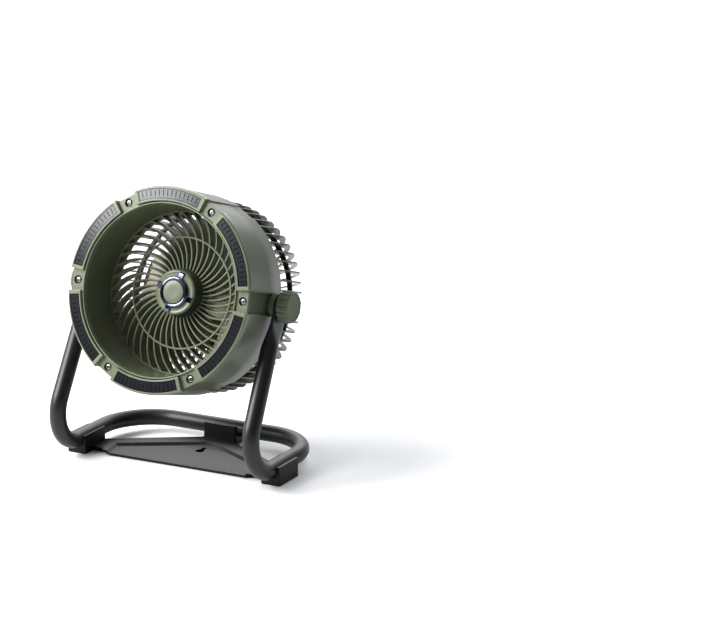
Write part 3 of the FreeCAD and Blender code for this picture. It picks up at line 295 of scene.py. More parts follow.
def softened(node, body, material, width):
    """Copy of a CAD node with its facets merged and its edges rounded."""
    mesh = frame["nodes"][node].data.copy()
    mesh.materials.clear()
    mesh.materials.append(material)
    work = bmesh.new()
    work.from_mesh(mesh)
    bmesh.ops.remove_doubles(work, verts=work.verts, dist=2e-6)
    bmesh.ops.dissolve_limit(work, verts=work.verts, edges=work.edges,
                             angle_limit=FLAT_TURN)
    for face in work.faces:
        face.smooth = True
    for edge in work.edges:
        edge.smooth = not creased(edge)
    work.to_mesh(mesh)
    work.free()
    piece = bpy.data.objects.new(node + "_soft", mesh)
    bpy.context.scene.collection.objects.link(piece)
    add_bevel(piece, width, angle=25.0, clamp=True)
    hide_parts(node)
    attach(piece, body)


# ---------------------------------------------------------------------------
# Materials
# ---------------------------------------------------------------------------

def noise(tree, scale, detail, vector):
    node = tree.nodes.new("ShaderNodeTexNoise")
    node.inputs["Scale"].default_value = scale
    node.inputs["Detail"].default_value = detail
    tree.links.new(vector, node.inputs["Vector"])
    return node.outputs["Fac"]


def ramp(tree, value, low, high, low_colour, high_colour):
    node = tree.nodes.new("ShaderNodeValToRGB")
    node.color_ramp.elements[0].position = low
    node.color_ramp.elements[1].position = high
    node.color_ramp.elements[0].color = (*low_colour, 1)
    node.color_ramp.elements[1].color = (*high_colour, 1)
    tree.links.new(value, node.inputs["Fac"])
    return node.outputs["Color"]


def scaled(colour, factor):
    return tuple(min(1.0, c * factor) for c in colour)


def surface(name, colour, roughness, grain=2200.0, bump=0.06, metallic=0.0, edge_highlight=1.25,
            blotch=0.05, stretch=(1, 1, 1), specular=0.5):
    """Moulded, painted or metal finish: blotchy colour, fine grain, and a painted highlight that
    lightens sharp edges.
    """
    material = bpy.data.materials.new(name)
    material.use_nodes = True
    tree = material.node_tree
    shader = tree.nodes["Principled BSDF"]
    shader.inputs["Metallic"].default_value = metallic
    shader.inputs["Specular IOR Level"].default_value = specular
    place = tree.nodes.new("ShaderNodeTexCoord")
    mapping = tree.nodes.new("ShaderNodeMapping")
    mapping.inputs["Scale"].default_value = stretch
    tree.links.new(place.outputs["Object"], mapping.inputs["Vector"])
    vector = mapping.outputs["Vector"]
    broad = noise(tree, 38.0, 4.0, vector)
    fine = noise(tree, grain, 2.0, vector)
    base = ramp(tree, broad, 0.35, 0.65, scaled(colour, 1 - blotch), scaled(colour, 1 + blotch))
    # Painted highlight: sharp edges (high Pointiness) are mixed towards a lighter copy of the
    # colour, standing in for light caught on their rounded edges.
    geometry = tree.nodes.new("ShaderNodeNewGeometry")
    edge = ramp(tree, geometry.outputs["Pointiness"], 0.52, 0.62, (0, 0, 0), (1, 1, 1))
    mix = tree.nodes.new("ShaderNodeMix")
    mix.data_type = "RGBA"
    tree.links.new(edge, mix.inputs["Factor"])
    tree.links.new(base, mix.inputs["A"])
    mix.inputs["B"].default_value = (*scaled(colour, edge_highlight), 1)
    tree.links.new(mix.outputs["Result"], shader.inputs["Base Color"])
    gloss = tree.nodes.new("ShaderNodeMapRange")
    gloss.inputs["To Min"].default_value = roughness * 0.86
    gloss.inputs["To Max"].default_value = min(1.0, roughness * 1.14)
    tree.links.new(fine, gloss.inputs["Value"])
    tree.links.new(gloss.outputs["Result"], shader.inputs["Roughness"])
    relief = tree.nodes.new("ShaderNodeBump")
    relief.inputs["Strength"].default_value = bump
    relief.inputs["Distance"].default_value = 0.0002
    tree.links.new(fine, relief.inputs["Height"])
    tree.links.new(relief.outputs["Normal"], shader.inputs["Normal"])
    return material


def srgb(r, g, b):
    """Linear colour of a display colour given in 0 to 255."""
    def linear(c):
        c /= 255.0
        return c / 12.92 if c <= 0.04045 else ((c + 0.055) / 1.055) ** 2.4
    return (linear(r), linear(g), linear(b))


# The head's green parts are all one sage plastic; these copies differ in colour only by painted
# light. The knob is a little darker and the vanes a little lighter, and the drum, duct, hub side
# and cage below are darker copies carrying painted shade.
BEZEL = surface("bezel_sage", srgb(104, 110, 90), 0.28, bump=0.05, edge_highlight=1.3)
KNOB = surface("knob_sage", srgb(96, 102, 84), 0.42, bump=0.06, edge_highlight=1.3, specular=0.10)
VANES = surface("vane_sage", srgb(110, 115, 95), 0.45, bump=0.05, edge_highlight=1.2, specular=0.25)
# Painted shade: the sage darkened for the shaded drum; the pod and the pivot spacers use it too.
DRUM = surface("drum_sage_painted_shade", srgb(86, 91, 75), 0.34, bump=0.06, edge_highlight=1.3)
# Painted shade: the sage darkened for the shade inside the duct.
DUCT = surface("duct_sage_painted_shade", srgb(84, 90, 70), 0.28, bump=0.05, edge_highlight=1.2)
# Painted shade: the sage strongly darkened for the shaded side of the hub cone.
HUB_SIDE = surface("hub_sage_painted_shade", srgb(52, 57, 44), 0.36, bump=0.05)
# Painted shade: the sage darkened for the shaded rear cage.
CAGE = surface("cage_sage_painted_shade", srgb(70, 75, 61), 0.22, bump=0.05, edge_highlight=1.3)
WINDOW = surface("window_smoke", srgb(38, 39, 43), 0.13, grain=900.0, bump=0.01, edge_highlight=1.1)
DASH = surface("window_dash", srgb(10, 10, 11), 0.6, bump=0.02, specular=0.1)
# Painted reflection: the chrome is darkened and tinted blue-grey to stand in for the dark room it
# reflects.
CHROME = surface("chrome_painted_dark_reflection", srgb(92, 98, 114), 0.09, grain=500.0, bump=0.004,
                 metallic=1.0, edge_highlight=1.0, blotch=0.01)
STEEL = surface("zinc_steel", srgb(196, 194, 190), 0.24, grain=1400.0, bump=0.03, metallic=1.0,
                edge_highlight=1.05, blotch=0.04)
# Partly the blades' own cream colour, partly painted light: lifted close to white to stand in for
# light reaching them through the cage from behind.
BLADES = surface("blade_cream_painted_backlight", srgb(244, 238, 222), 0.36, bump=0.04, edge_highlight=1.1)
PAINT = surface("black_powder", srgb(27, 28, 30), 0.40, grain=1500.0, bump=0.22, edge_highlight=1.2)
PLATE = surface("plate_powder", srgb(18, 19, 21), 0.46, grain=900.0, bump=0.55, edge_highlight=1.25,
                specular=0.4)
BLACK = surface("black_moulded", srgb(15, 15, 15), 0.45, grain=1800.0, bump=0.10, edge_highlight=1.6,
                specular=0.35)
HOOP = surface("hoop_black", srgb(20, 22, 18), 0.45, bump=0.06, edge_highlight=1.2)
# Painted light: a dimmer copy of the zinc steel, so the bezel screws reflect less light than the
# other steel parts.
SCREW = surface("screw_steel_painted_dim", srgb(146, 145, 143), 0.26, grain=1400.0, bump=0.03, metallic=1.0,
                edge_highlight=1.05, blotch=0.04)
RUBBER = surface("pad_rubber_mat", srgb(26, 26, 26), 0.75, grain=1600.0, bump=0.15)
BRASS = surface("turned_brass", srgb(196, 164, 98), 0.28, metallic=1.0, bump=0.02)
COPPER = surface("winding_copper", srgb(184, 104, 66), 0.32, metallic=1.0, bump=0.10,
                 stretch=(1, 8, 1))
MAGNET = surface("sintered_magnet", srgb(58, 58, 60), 0.45, metallic=1.0, bump=0.10)
CAST = surface("cast_alloy", srgb(176, 178, 180), 0.38, metallic=1.0, bump=0.10)
BOARD = surface("board_green", srgb(28, 84, 52), 0.30, bump=0.03)
CELL = surface("cell_wrap_blue", srgb(46, 96, 148), 0.22, bump=0.02)
PIPE = surface("light_pipe_clear", srgb(222, 226, 220), 0.20, bump=0.01)


def dress(material, *nodes):
    """Give CAD nodes that keep their shape a finish."""
    for name in nodes:
        mesh = frame["nodes"][name].data
        mesh.materials.clear()
        mesh.materials.append(material)


# ---------------------------------------------------------------------------
# Head: bezel and windows
# ---------------------------------------------------------------------------

WINDOW_START = LUG_PITCH / 2 - WINDOW_HALF_ANGLE
LUG_EDGE = math.degrees(math.atan(LUG_HALF_WIDTH / LUG_FLAT))


def flat_radius(offset):
    """Distance from the axis to the flat of a lug, so many degrees off its middle."""
    return LUG_FLAT / math.cos(math.radians(offset))


def rim_radius(offset):
    """Outline of the head where a lug is: flat over the lug, then stepped."""
    return flat_radius(offset) if offset <= LUG_EDGE + 0.01 else LUG_STEP


def bezel_row(angle, offset, kind):
    """Section of the bezel: kind is lug, solid (panel end) or window (recessed panel)."""
    outer = rim_radius(offset) if kind == "lug" else PANEL_R_OUT
    top = 0.0 if kind == "lug" else PANEL_FACE
    pit = WINDOW_FACE + WINDOW_THICK if kind == "window" else top
    ease = 0.0 if kind == "lug" else 1.0
    section = [
        (MOUTH_R, BEZEL_BACK), (MOUTH_R, MOUTH_FACE + 0.4), (MOUTH_R + 0.4, MOUTH_FACE),
        (MOUTH_LIP_R - 0.4, MOUTH_FACE), (MOUTH_LIP_R, MOUTH_FACE + 0.5), (MOUTH_LIP_R, 0.0),
        (PANEL_R_IN, 0.0), (PANEL_R_IN, top + 0.5 * ease), (PANEL_R_IN + 0.5, top),
        (WINDOW_R_IN, top), (WINDOW_R_IN, pit), (WINDOW_R_OUT, pit), (WINDOW_R_OUT, top),
        (min(outer, PANEL_R_OUT) - 1.5, top), (outer - 0.6, top + 0.5 * ease),
        (outer, top + 1.7 * ease + 0.3), (outer, BEZEL_BACK),
    ]
    if kind == "lug":
        section = [(min(r, outer), y) for r, y in section]
        section[11:15] = [(outer - inset, 0.0) for inset in (2.0, 1.8, 1.2, 0.4)]
    return [polar(r, angle, y) for r, y in section]


def bezel_shape():
    """Sections all the way round; close pairs of them make the steps at lugs and windows."""
    step = 0.02
    half = [(a, "lug") for a in (0.0, 1.5, 3.0, 4.5, LUG_EDGE, LUG_EDGE + 2 * step,
                                 PANEL_END - step)]
    half += [(PANEL_END + step, "solid"), (WINDOW_START - step, "solid")]
    count = 12
    half += [(WINDOW_START + step + WINDOW_HALF_ANGLE * i / count, "window")
             for i in range(count)]
    rows = []
    for lug in range(LUGS):
        centre = lug * LUG_PITCH
        for offset, kind in reversed(half[1:]):
            rows.append(bezel_row(centre - offset, offset, kind))
        for offset, kind in half:
            rows.append(bezel_row(centre + offset, offset, kind))
    return loft(rows, ring=True)


def cylinder(radius, y0, y1, x, z=0.0, count=40):
    rows = []
    for y in (y0, y1):
        rows.append([(x + radius * math.cos(2 * math.pi * i / count), y,
                      z + radius * math.sin(2 * math.pi * i / count)) for i in range(count)])
    return loft(rows)


def cut(piece, shape):
    """Boolean difference, applied to the mesh of a head piece."""
    mesh = mesh_of(piece.name + "_cutter", shape, HEAD)
    cutter = bpy.data.objects.new(mesh.name, mesh)
    bpy.context.scene.collection.objects.link(cutter)
    carve = piece.modifiers.new("carve", "BOOLEAN")
    carve.operation = "DIFFERENCE"
    carve.object = cutter
    carve.solver = "EXACT"
    bpy.context.view_layer.update()
    graph = bpy.context.evaluated_depsgraph_get()
    result = bpy.data.meshes.new_from_object(piece.evaluated_get(graph), depsgraph=graph)
    piece.modifiers.remove(carve)
    piece.data = result
    shade(result)
    bpy.data.objects.remove(cutter)


def make_bezel():
    bezel = put("bezel_ring", bezel_shape(), "head", BEZEL, ["front_bezel"])
    cut(bezel, around(cylinder(RECESS_R, -1.0, 2.8, SCREW_CIRCLE), LUGS))
    add_bevel(bezel, 0.3)


def window_shape(middle):
    """Smoked strip with a fine border line and a row of radial dashes."""
    low, high = WINDOW_R_IN + 0.1, WINDOW_R_OUT - 0.1
    border, line = 0.7, 0.35
    sink = 0.4
    dash_low, dash_high = low + 3.0, high - 1.9
    dash_half = 0.2
    pitch = 2.85
    count = 14
    tiny = 0.01
    radii = [low, low + border, low + border + tiny, low + border + line,
             low + border + line + tiny, dash_low, dash_low + tiny, dash_high,
             dash_high + tiny, high - border - line - tiny, high - border - line,
             high - border - tiny, high - border, high]
    in_line = {2, 3, 10, 11}
    in_dash = {6, 7}
    half = WINDOW_HALF_ANGLE - 0.15
    margin = 0.45
    angles = [(-half, 0), (-half + margin, 0), (-half + margin + tiny, 1),
              (-half + margin + 0.2, 1), (-half + margin + 0.2 + tiny, 0)]
    for i in range(count):
        centre = (i - (count - 1) / 2) * pitch
        angles += [(centre - dash_half - tiny, 0), (centre - dash_half, 2),
                   (centre + dash_half, 2), (centre + dash_half + tiny, 0)]
    angles += [(-a, kind) for a, kind in reversed(angles[:5])]
    back = WINDOW_FACE + WINDOW_THICK
    rows = []
    for angle, kind in angles:
        row = []
        for index, radius in enumerate(radii):
            inside = 1 < index < len(radii) - 2
            sunk = index in in_line or (kind == 1 and inside) or (kind == 2 and index in in_dash)
            row.append(polar(radius, middle + angle, WINDOW_FACE + (sink if sunk else 0.0)))
        row.append(polar(high, middle + angle, back))
        row.append(polar(low, middle + angle, back))
        rows.append(row)
    return loft(rows)


def make_windows():
    """Six strips; the floors of their grooves are coloured near black."""
    inverse = HEAD.inverted()
    for number in range(1, LUGS + 1):
        middle = (number - 0.5) * LUG_PITCH
        window = put(f"window_strip_{number}", window_shape(middle), "head", WINDOW,
                     [f"led_window_{number}"])
        window.data.materials.append(DASH)
        for face in window.data.polygons:
            deepest = max((inverse @ window.data.vertices[v].co).y for v in face.vertices)
            if WINDOW_FACE + 0.2 < deepest < WINDOW_FACE + 0.6:
                face.material_index = 1


def cross_screw(radius, top, bottom):
    """Round head with four driver slots cut as real pockets."""
    fine = 72
    shares = [0.0, 0.16, 0.30, 0.44, 0.56, 0.58, 0.72, 0.86, 0.95, 1.0]
    drop = [0.0, 0.0, 0.0, 0.02, 0.04, 0.05, 0.14, 0.38, 0.75, 1.3]
    rows = []
    for share, fall in zip(shares, drop):
        row = []
        for i in range(fine):
            angle = 2 * math.pi * i / fine
            x, z = radius * share * math.cos(angle), radius * share * math.sin(angle)
            pocket = share <= 0.57 and min(abs(x), abs(z)) <= 0.135 * radius
            row.append((x, top + fall + (1.1 if pocket else 0.0), z))
        rows.append(row)
    rows.append([(p[0], bottom, p[2]) for p in rows[-1]])
    return loft(rows)


def make_bezel_screws():
    points, faces = cross_screw(3.3, 1.0, 3.4)
    screw = [(x + SCREW_CIRCLE, y, z) for x, y, z in points], faces
    put("bezel_screw_heads", around(screw, LUGS), "head", SCREW, ["bezel_screws"])


# ---------------------------------------------------------------------------
# Head: drum, duct, vanes and hub
# ---------------------------------------------------------------------------

def drum_radius(y):
    """Outer radius of the drum between its lugs."""
    share = (y - BEZEL_BACK) / (DRUM_BACK - BEZEL_BACK)
    return DRUM_R_FRONT + (DRUM_R_REAR - DRUM_R_FRONT) * share


def make_drum():
    """Drum wall with a flat where each lug runs back along it, and its rear floor."""
    step = 0.04
    edge = math.degrees(math.asin(LUG_HALF_WIDTH / DRUM_R_FRONT))
    flat = [(a, True) for a in (0.0, 1.5, 3.0, 4.5, edge - step)]
    round_part = [(edge + step + (30.0 - edge) * i / 12, False) for i in range(12)]
    half = flat + round_part
    rows = []
    heights = [BEZEL_BACK, 20.0, 40.0, DRUM_BACK - 0.8, DRUM_BACK]
    inner = DRUM_R_REAR - DRUM_WALL - 0.6
    inside = [(inner, DRUM_BACK), (inner, CAGE_START), (DUCT_R_REAR + 1, CAGE_START),
              (DUCT_R_REAR + 1, DRUM_FLOOR), (inner, DRUM_FLOOR), (inner, BEZEL_BACK)]
    for lug in range(LUGS):
        for sign, part in ((-1, list(reversed(half[1:]))), (1, half)):
            for offset, is_flat in part:
                angle = lug * LUG_PITCH + sign * offset
                row = []
                for y in heights:
                    radius = flat_radius(offset) if is_flat else drum_radius(y)
                    if y == DRUM_BACK:
                        radius -= 0.5
                    row.append(polar(radius, angle, y))
                rows.append(row + [polar(r, angle, y) for r, y in inside])
    put("drum_case", loft(rows, ring=True), "head", DRUM, ["drum_shell"], bevel=0.45)


def make_duct():
    outline = [
        (DUCT_R_FRONT, BEZEL_BACK), (DUCT_R_FRONT + 2.4, BEZEL_BACK),
        (DUCT_R_FRONT + 2.4, BEZEL_BACK + 1.5), (DUCT_R_FRONT + DUCT_WALL, BEZEL_BACK + 1.5),
        (DUCT_R_REAR + DUCT_WALL, VANE_FACE), (DUCT_R_REAR, VANE_FACE),
        (DUCT_R_REAR + 0.55, VANE_FACE - 6.0), (DUCT_R_FRONT - 0.6, BEZEL_BACK + 6.0),
    ]
    put("duct_wall", lathe(outline, 256), "head", DUCT, ["front_duct"])


def vane_shape():
    """Guide vane: a round-fronted strip swept along a circular arc."""
    heading = math.radians(VANE_HEADING)
    cx = VANE_ROOT_R - VANE_CURVE_R * math.sin(heading)
    cz = VANE_CURVE_R * math.cos(heading)
    front = VANE_THICK / 2
    back = front * 0.62
    section = rounded([(-front, VANE_FACE), (front, VANE_FACE), (back, VANE_FACE + VANE_DEPTH),
                       (-back, VANE_FACE + VANE_DEPTH)], 0.5, 3)
    rows = []
    count = 34
    first = -2.0
    for i in range(count + 1):
        angle = heading + math.radians(first + (VANE_TURN - first) * i / count)
        rows.append([(cx + (VANE_CURVE_R + n) * math.sin(angle), y,
                      cz - (VANE_CURVE_R + n) * math.cos(angle)) for n, y in section])
    return loft(rows)


def make_grille():
    back = VANE_FACE + VANE_DEPTH
    outer = rounded([(DUCT_R_REAR - 0.9, VANE_FACE - 0.6), (DUCT_R_REAR - 0.05, VANE_FACE - 0.6),
                     (DUCT_R_REAR + DUCT_WALL, VANE_FACE + 0.05),
                     (DUCT_R_REAR + DUCT_WALL, DRUM_FLOOR),
                     (DUCT_R_REAR - 0.9, DRUM_FLOOR)], 0.4, 2)
    mid = rounded([(MID_RING_R - 1.0, VANE_FACE - 0.5), (MID_RING_R + 1.0, VANE_FACE - 0.5),
                   (MID_RING_R + 0.8, VANE_FACE + 2.5), (MID_RING_R - 0.8, VANE_FACE + 2.5)],
                  0.5, 3)
    hub = [(0.0, back - 2), (VANE_ROOT_R - 2.5, back - 2), (VANE_ROOT_R - 2.5, VANE_FACE),
           (VANE_ROOT_R, VANE_FACE), (VANE_ROOT_R, back), (0.0, back)]
    shapes = [lathe(outer, 256), lathe(mid, 192), lathe(hub, 128),
              around(vane_shape(), VANE_COUNT)]
    put("guide_vanes", joined(shapes), "head", VANES, ["front_grille"])


def make_hub():
    """Cone with a stepped sage face, a dished cap and a bright clawed ring."""
    side = rounded([(HUB_R_FACE, HUB_FACE + 1.6), (VANE_ROOT_R, VANE_FACE),
                    (VANE_ROOT_R - 2.0, VANE_FACE), (HUB_R_FACE - 2.3, HUB_FACE + 3.0)], 0.1, 1)
    face = [
        (0.0, HUB_FACE + 2.0), (0.0, HUB_FACE + 0.2), (TRIM_R_OUT - 0.4, HUB_FACE + 0.2),
        (TRIM_R_OUT + 0.2, HUB_FACE - 0.35), (TRIM_R_OUT + 1.5, HUB_FACE - 0.35),
        (TRIM_R_OUT + 1.8, HUB_FACE + 0.1), (HUB_R_FACE - 2.6, HUB_FACE + 0.15),
        (HUB_R_FACE - 2.2, HUB_FACE + 0.0), (HUB_R_FACE - 1.2, HUB_FACE + 0.35),
        (HUB_R_FACE - 0.4, HUB_FACE + 0.95), (HUB_R_FACE - 0.02, HUB_FACE + 1.7),
        (HUB_R_FACE - 2.2, HUB_FACE + 2.6),
    ]
    put("hub_cone_side", lathe(side, 160), "head", HUB_SIDE, ["hub_cone"])
    put("hub_face_disc", lathe(face, 160), "head", BEZEL)
    cap = [(0.0, HUB_FACE + 0.2), (0.0, CAP_FACE + 0.12), (CAP_R * 0.25, CAP_FACE + 0.10),
           (CAP_R * 0.5, CAP_FACE + 0.06), (CAP_R - 0.9, CAP_FACE),
           (CAP_R - 0.3, CAP_FACE + 0.15), (CAP_R, CAP_FACE + 0.6), (CAP_R, HUB_FACE + 0.2)]
    put("hub_cap_disc", lathe(cap, 128), "head", BEZEL, ["hub_cap"])
    middle = (TRIM_R_IN + TRIM_R_OUT) / 2
    half_band = (TRIM_R_OUT - TRIM_R_IN) / 2
    band = [(middle - half_band * math.cos(math.radians(a)),
             TRIM_FACE + 1.5 * (1 - math.sin(math.radians(a)))) for a in range(0, 181, 15)]
    band += [(TRIM_R_OUT, HUB_FACE + 0.1), (TRIM_R_IN, HUB_FACE + 0.1)]
    claw_half = 2.9
    rows = []
    for x, top in ((TRIM_R_OUT - 1.9, TRIM_FACE + 0.75), (TRIM_R_OUT + 0.4, TRIM_FACE + 1.0),
                   (CLAW_REACH - 1.6, TRIM_FACE + 1.3), (CLAW_REACH - 0.5, TRIM_FACE + 1.75),
                   (CLAW_REACH, TRIM_FACE + 2.5)):
        profile = [(-claw_half, HUB_FACE + 0.1), (-claw_half, top + 0.35),
                   (-claw_half + 0.45, top), (claw_half - 0.45, top), (claw_half, top + 0.35),
                   (claw_half, HUB_FACE + 0.1)]
        rows.append([(x, y, z) for z, y in profile])
    claws = around(loft(rows), 4, CLAW_START)
    put("hub_bright_ring", joined([lathe(band, 128), claws]), "head", CHROME, ["hub_trim"])


# ---------------------------------------------------------------------------
# Head: rear cage
# ---------------------------------------------------------------------------

def fin_shape():
    """Bent plate with rounded edges, swept down the side and in across the back."""
    half_depth = FIN_DEPTH / 2
    half_thick = FIN_THICK / 2
    thin = 0.5
    inner = FIN_EASE - half_depth
    section = rounded([(inner, -thin), (half_depth, -half_thick), (half_depth, half_thick),
                       (inner, thin)], 0.45, 3)
    corner_r = FIN_R_OUT - CAGE_CORNER_R
    corner_y = CAGE_BACK - CAGE_CORNER_R
    middle_r = CAGE_CORNER_R - half_depth
    stations = [((FIN_R_OUT - half_depth, y), (1.0, 0.0)) for y in (CAGE_START, 80.0, corner_y)]
    turns = 12
    for i in range(1, turns + 1):
        a = math.radians(90.0 * i / turns)
        stations.append(((corner_r + middle_r * math.cos(a), corner_y + middle_r * math.sin(a)),
                         (math.cos(a), math.sin(a))))
    stations.append(((50.0, CAGE_BACK - half_depth), (0.0, 1.0)))
    rows = []
    for (r, y), (nr, ny) in stations:
        rows.append([(r + nr * d, y + ny * d, t) for d, t in section])
    return loft(rows)


def make_cage():
    r_in = FIN_R_OUT - FIN_DEPTH
    y_in = CAGE_BACK - FIN_DEPTH
    front = rounded([(r_in, CAGE_START), (FIN_R_OUT, CAGE_START), (FIN_R_OUT, CAGE_START + 2.6),
                     (r_in, CAGE_START + 2.6)], 0.5, 2)
    hub = rounded([(48.2, y_in), (51.0, y_in), (51.0, CAGE_BACK), (48.2, CAGE_BACK)], 0.6, 3)
    shapes = [lathe(front, 192), lathe(hub, 144), around(fin_shape(), FIN_COUNT, FIN_START)]
    put("cage_fins", joined(shapes), "head", CAGE, ["rear_cage"])
    hoop_back = HOOP_Y + 4.0
    hoop_r = r_in + FIN_EASE - 0.1
    hoop = rounded([(r_in - 3.2, HOOP_Y), (hoop_r, HOOP_Y), (hoop_r, hoop_back),
                    (r_in - 3.2, hoop_back)], 0.6, 3)
    half = 0.9
    tooth = loft([[(r, y, z) for z, y in ((-half, hoop_back - 0.5), (half, hoop_back - 0.5),
                                          (half, hoop_back + 2.0), (-half, hoop_back + 2.0))]
                  for r in (r_in - 3.0, r_in - 1.0)])
    teeth = around(tooth, FIN_COUNT, FIN_START)
    put("cage_hoop", joined([lathe(hoop, 192), teeth]), "head", HOOP, ["cage_side_ring"])
    touch = y_in + FIN_EASE - 0.1
    inner = rounded([(52.0, y_in - 2.6), (56.0, y_in - 2.6), (56.0, touch), (52.0, touch)],
                    0.6, 3)
    put("cage_back_hoop", lathe(inner, 144), "head", HOOP, ["cage_rear_ring"])


# ---------------------------------------------------------------------------
# Impeller
# ---------------------------------------------------------------------------

def blade_point(across, along, lift):
    """Point of a blade: across from leading to trailing edge, along from root to tip."""
    radius = BLADE_ROOT_R + along * (BLADE_TIP_R - BLADE_ROOT_R)
    half = BLADE_HALF_ROOT + BLADE_HALF_GROWTH * along
    rounding = max(0.0, (along - BLADE_ROUND_FROM) / (1 - BLADE_ROUND_FROM))
    narrowed = 1 - 0.4 * rounding ** 2.4
    angle = math.radians(BLADE_SWEEP_ROOT - BLADE_SWEEP * along
                         + (2 * across - 1) * half * narrowed)
    depth = BLADE_DEPTH_ROOT - BLADE_DEPTH_LOSS * along
    camber = BLADE_CAMBER * math.sin(math.pi * across)
    y = BLADE_MID + (0.5 - across) * depth * narrowed + camber + lift
    return (radius * math.cos(angle), y, radius * math.sin(angle))


def blade_shape():
    """Wing with a full middle and thin rounded edges."""
    spans, chords = 26, 30
    rows = []
    for j in range(spans + 1):
        along = j / spans
        thick = 0.9 * (1 - 0.45 * along ** 6)
        loop = []
        for side in (-1, 1):
            order = range(chords + 1) if side < 0 else range(chords - 1, 0, -1)
            for i in order:
                across = 0.5 - 0.5 * math.cos(math.pi * i / chords)
                taper = math.sin(math.pi * i / chords) ** 0.35
                loop.append(blade_point(across, along, side * thick * taper))
        rows.append(loop)
    return loft(rows)


def make_impeller():
    outline = [(0.0, IMPELLER_FRONT), (16.0, IMPELLER_FRONT), (20.0, IMPELLER_FRONT + 0.3),
               (22.4, IMPELLER_FRONT + 1.3), (23.6, IMPELLER_FRONT + 2.9),
               (24.0, IMPELLER_FRONT + 5.0), (24.0, IMPELLER_BACK - 0.4),
               (23.6, IMPELLER_BACK), (22.4, IMPELLER_BACK),
               (22.4, IMPELLER_FRONT + 3), (0.0, IMPELLER_FRONT + 3)]
    shapes = [lathe(outline, 128), around(blade_shape(), BLADE_COUNT)]
    put("fan_impeller", joined(shapes), "impeller", BLADES, ["impeller"])


# ---------------------------------------------------------------------------
# Clamp knobs
# ---------------------------------------------------------------------------

def knob_shape():
    """Fluted knob with a chamfered rim and a shallow dished face; its axis lies along +x."""
    per_flute = 14
    count = KNOB_FLUTES * per_flute
    length = KNOB_OUTER - KNOB_INNER
    stations = [
        (0.0, KNOB_R - 0.5, 1.0), (0.04, KNOB_R, 1.0), (0.55, KNOB_R, 1.0),
        (0.78, KNOB_R - 0.1, 0.9), (0.86, KNOB_R - 0.6, 0.55), (0.93, KNOB_R - 1.1, 0.22),
        (0.985, KNOB_FACE_R, 0.0), (1.0, KNOB_FACE_R - 0.5, 0.0), (1.0, KNOB_FACE_R - 1.7, 0.0),
        (0.965, KNOB_FACE_R - 2.1, 0.0), (0.955, KNOB_FACE_R * 0.5, 0.0), (0.955, 0.0, 0.0),
    ]
    rows = []
    for share, radius, flute in stations:
        row = []
        for i in range(count):
            phase = (i % per_flute) / per_flute
            dip = max(0.0, math.cos(2 * math.pi * phase)) ** 1.5 * 0.95 * flute
            angle = 2 * math.pi * i / count
            row.append((KNOB_INNER + share * length, PIVOT_DEPTH + (radius - dip) * math.cos(angle),
                        (radius - dip) * math.sin(angle)))
        rows.append(row)
    return loft(rows)


def mirrored(shape):
    return [(-p[0], p[1], p[2]) for p in shape[0]], [tuple(reversed(f)) for f in shape[1]]


def make_knobs():
    right = knob_shape()
    put("knob_right", right, "right_knob", KNOB, ["clamp_knob_right"])
    put("knob_left", mirrored(right), "left_knob", KNOB, ["clamp_knob_left"])
    # The pivot spacers take the drum's darkened sage, painted shade.
    for side in ("right", "left"):
        softened(f"pivot_spacer_{side}", "head", DRUM, 0.5)


# ---------------------------------------------------------------------------
# Stand
# ---------------------------------------------------------------------------

FRONT_BEND_Y = PIVOT_Y - FRONT_BEND_SETBACK
REAR_BAR_Y = PIVOT_Y + REAR_BAR_SETBACK
PIVOT_RISE = (PIVOT_Z - TUBE_Z) / math.cos(TUBE_LEAN)


def leaned(y, rise):
    return Vector((TUBE_X - rise * math.sin(TUBE_LEAN), y, TUBE_Z + rise * math.cos(TUBE_LEAN)))


def leg_geometry():
    """Angle where the leg leaves its front bend, and the leg's direction (y, rise)."""
    dy = PIVOT_Y - FRONT_BEND_Y
    dr = PIVOT_RISE - FRONT_BEND_R
    angle = math.atan2(dr, dy) + math.acos(FRONT_BEND_R / math.hypot(dy, dr))
    y = FRONT_BEND_Y + FRONT_BEND_R * math.cos(angle)
    rise = FRONT_BEND_R + FRONT_BEND_R * math.sin(angle)
    length = math.hypot(PIVOT_Y - y, PIVOT_RISE - rise)
    return angle, (y, rise), ((PIVOT_Y - y) / length, (PIVOT_RISE - rise) / length)


BEND_ANGLE, TANGENT, LEG = leg_geometry()


def tube_line():
    """Centre line of the right half, from under the flattened end to the middle of the back."""
    points = []
    top = leaned(PIVOT_Y - CRUSH_LENGTH * LEG[0], PIVOT_RISE - CRUSH_LENGTH * LEG[1])
    tangent = leaned(*TANGENT)
    for i in range(12):
        points.append(top.lerp(tangent, i / 12))
    bend_steps = 28
    for i in range(bend_steps + 1):
        a = BEND_ANGLE + (1.5 * math.pi - BEND_ANGLE) * i / bend_steps
        points.append(leaned(FRONT_BEND_Y + FRONT_BEND_R * math.cos(a),
                             FRONT_BEND_R + FRONT_BEND_R * math.sin(a)))
    corner_y = REAR_BAR_Y - REAR_BEND_R
    for i in range(1, 6):
        points.append(Vector((TUBE_X, FRONT_BEND_Y + (corner_y - FRONT_BEND_Y) * i / 6, TUBE_Z)))
    for i in range(25):
        a = math.radians(90.0 * i / 24)
        points.append(Vector((TUBE_X - REAR_BEND_R + REAR_BEND_R * math.cos(a),
                              corner_y + REAR_BEND_R * math.sin(a), TUBE_Z)))
    inner_x = TUBE_X - REAR_BEND_R
    for i in range(1, 6):
        points.append(Vector((inner_x * (1 - i / 5), REAR_BAR_Y, TUBE_Z)))
    return points


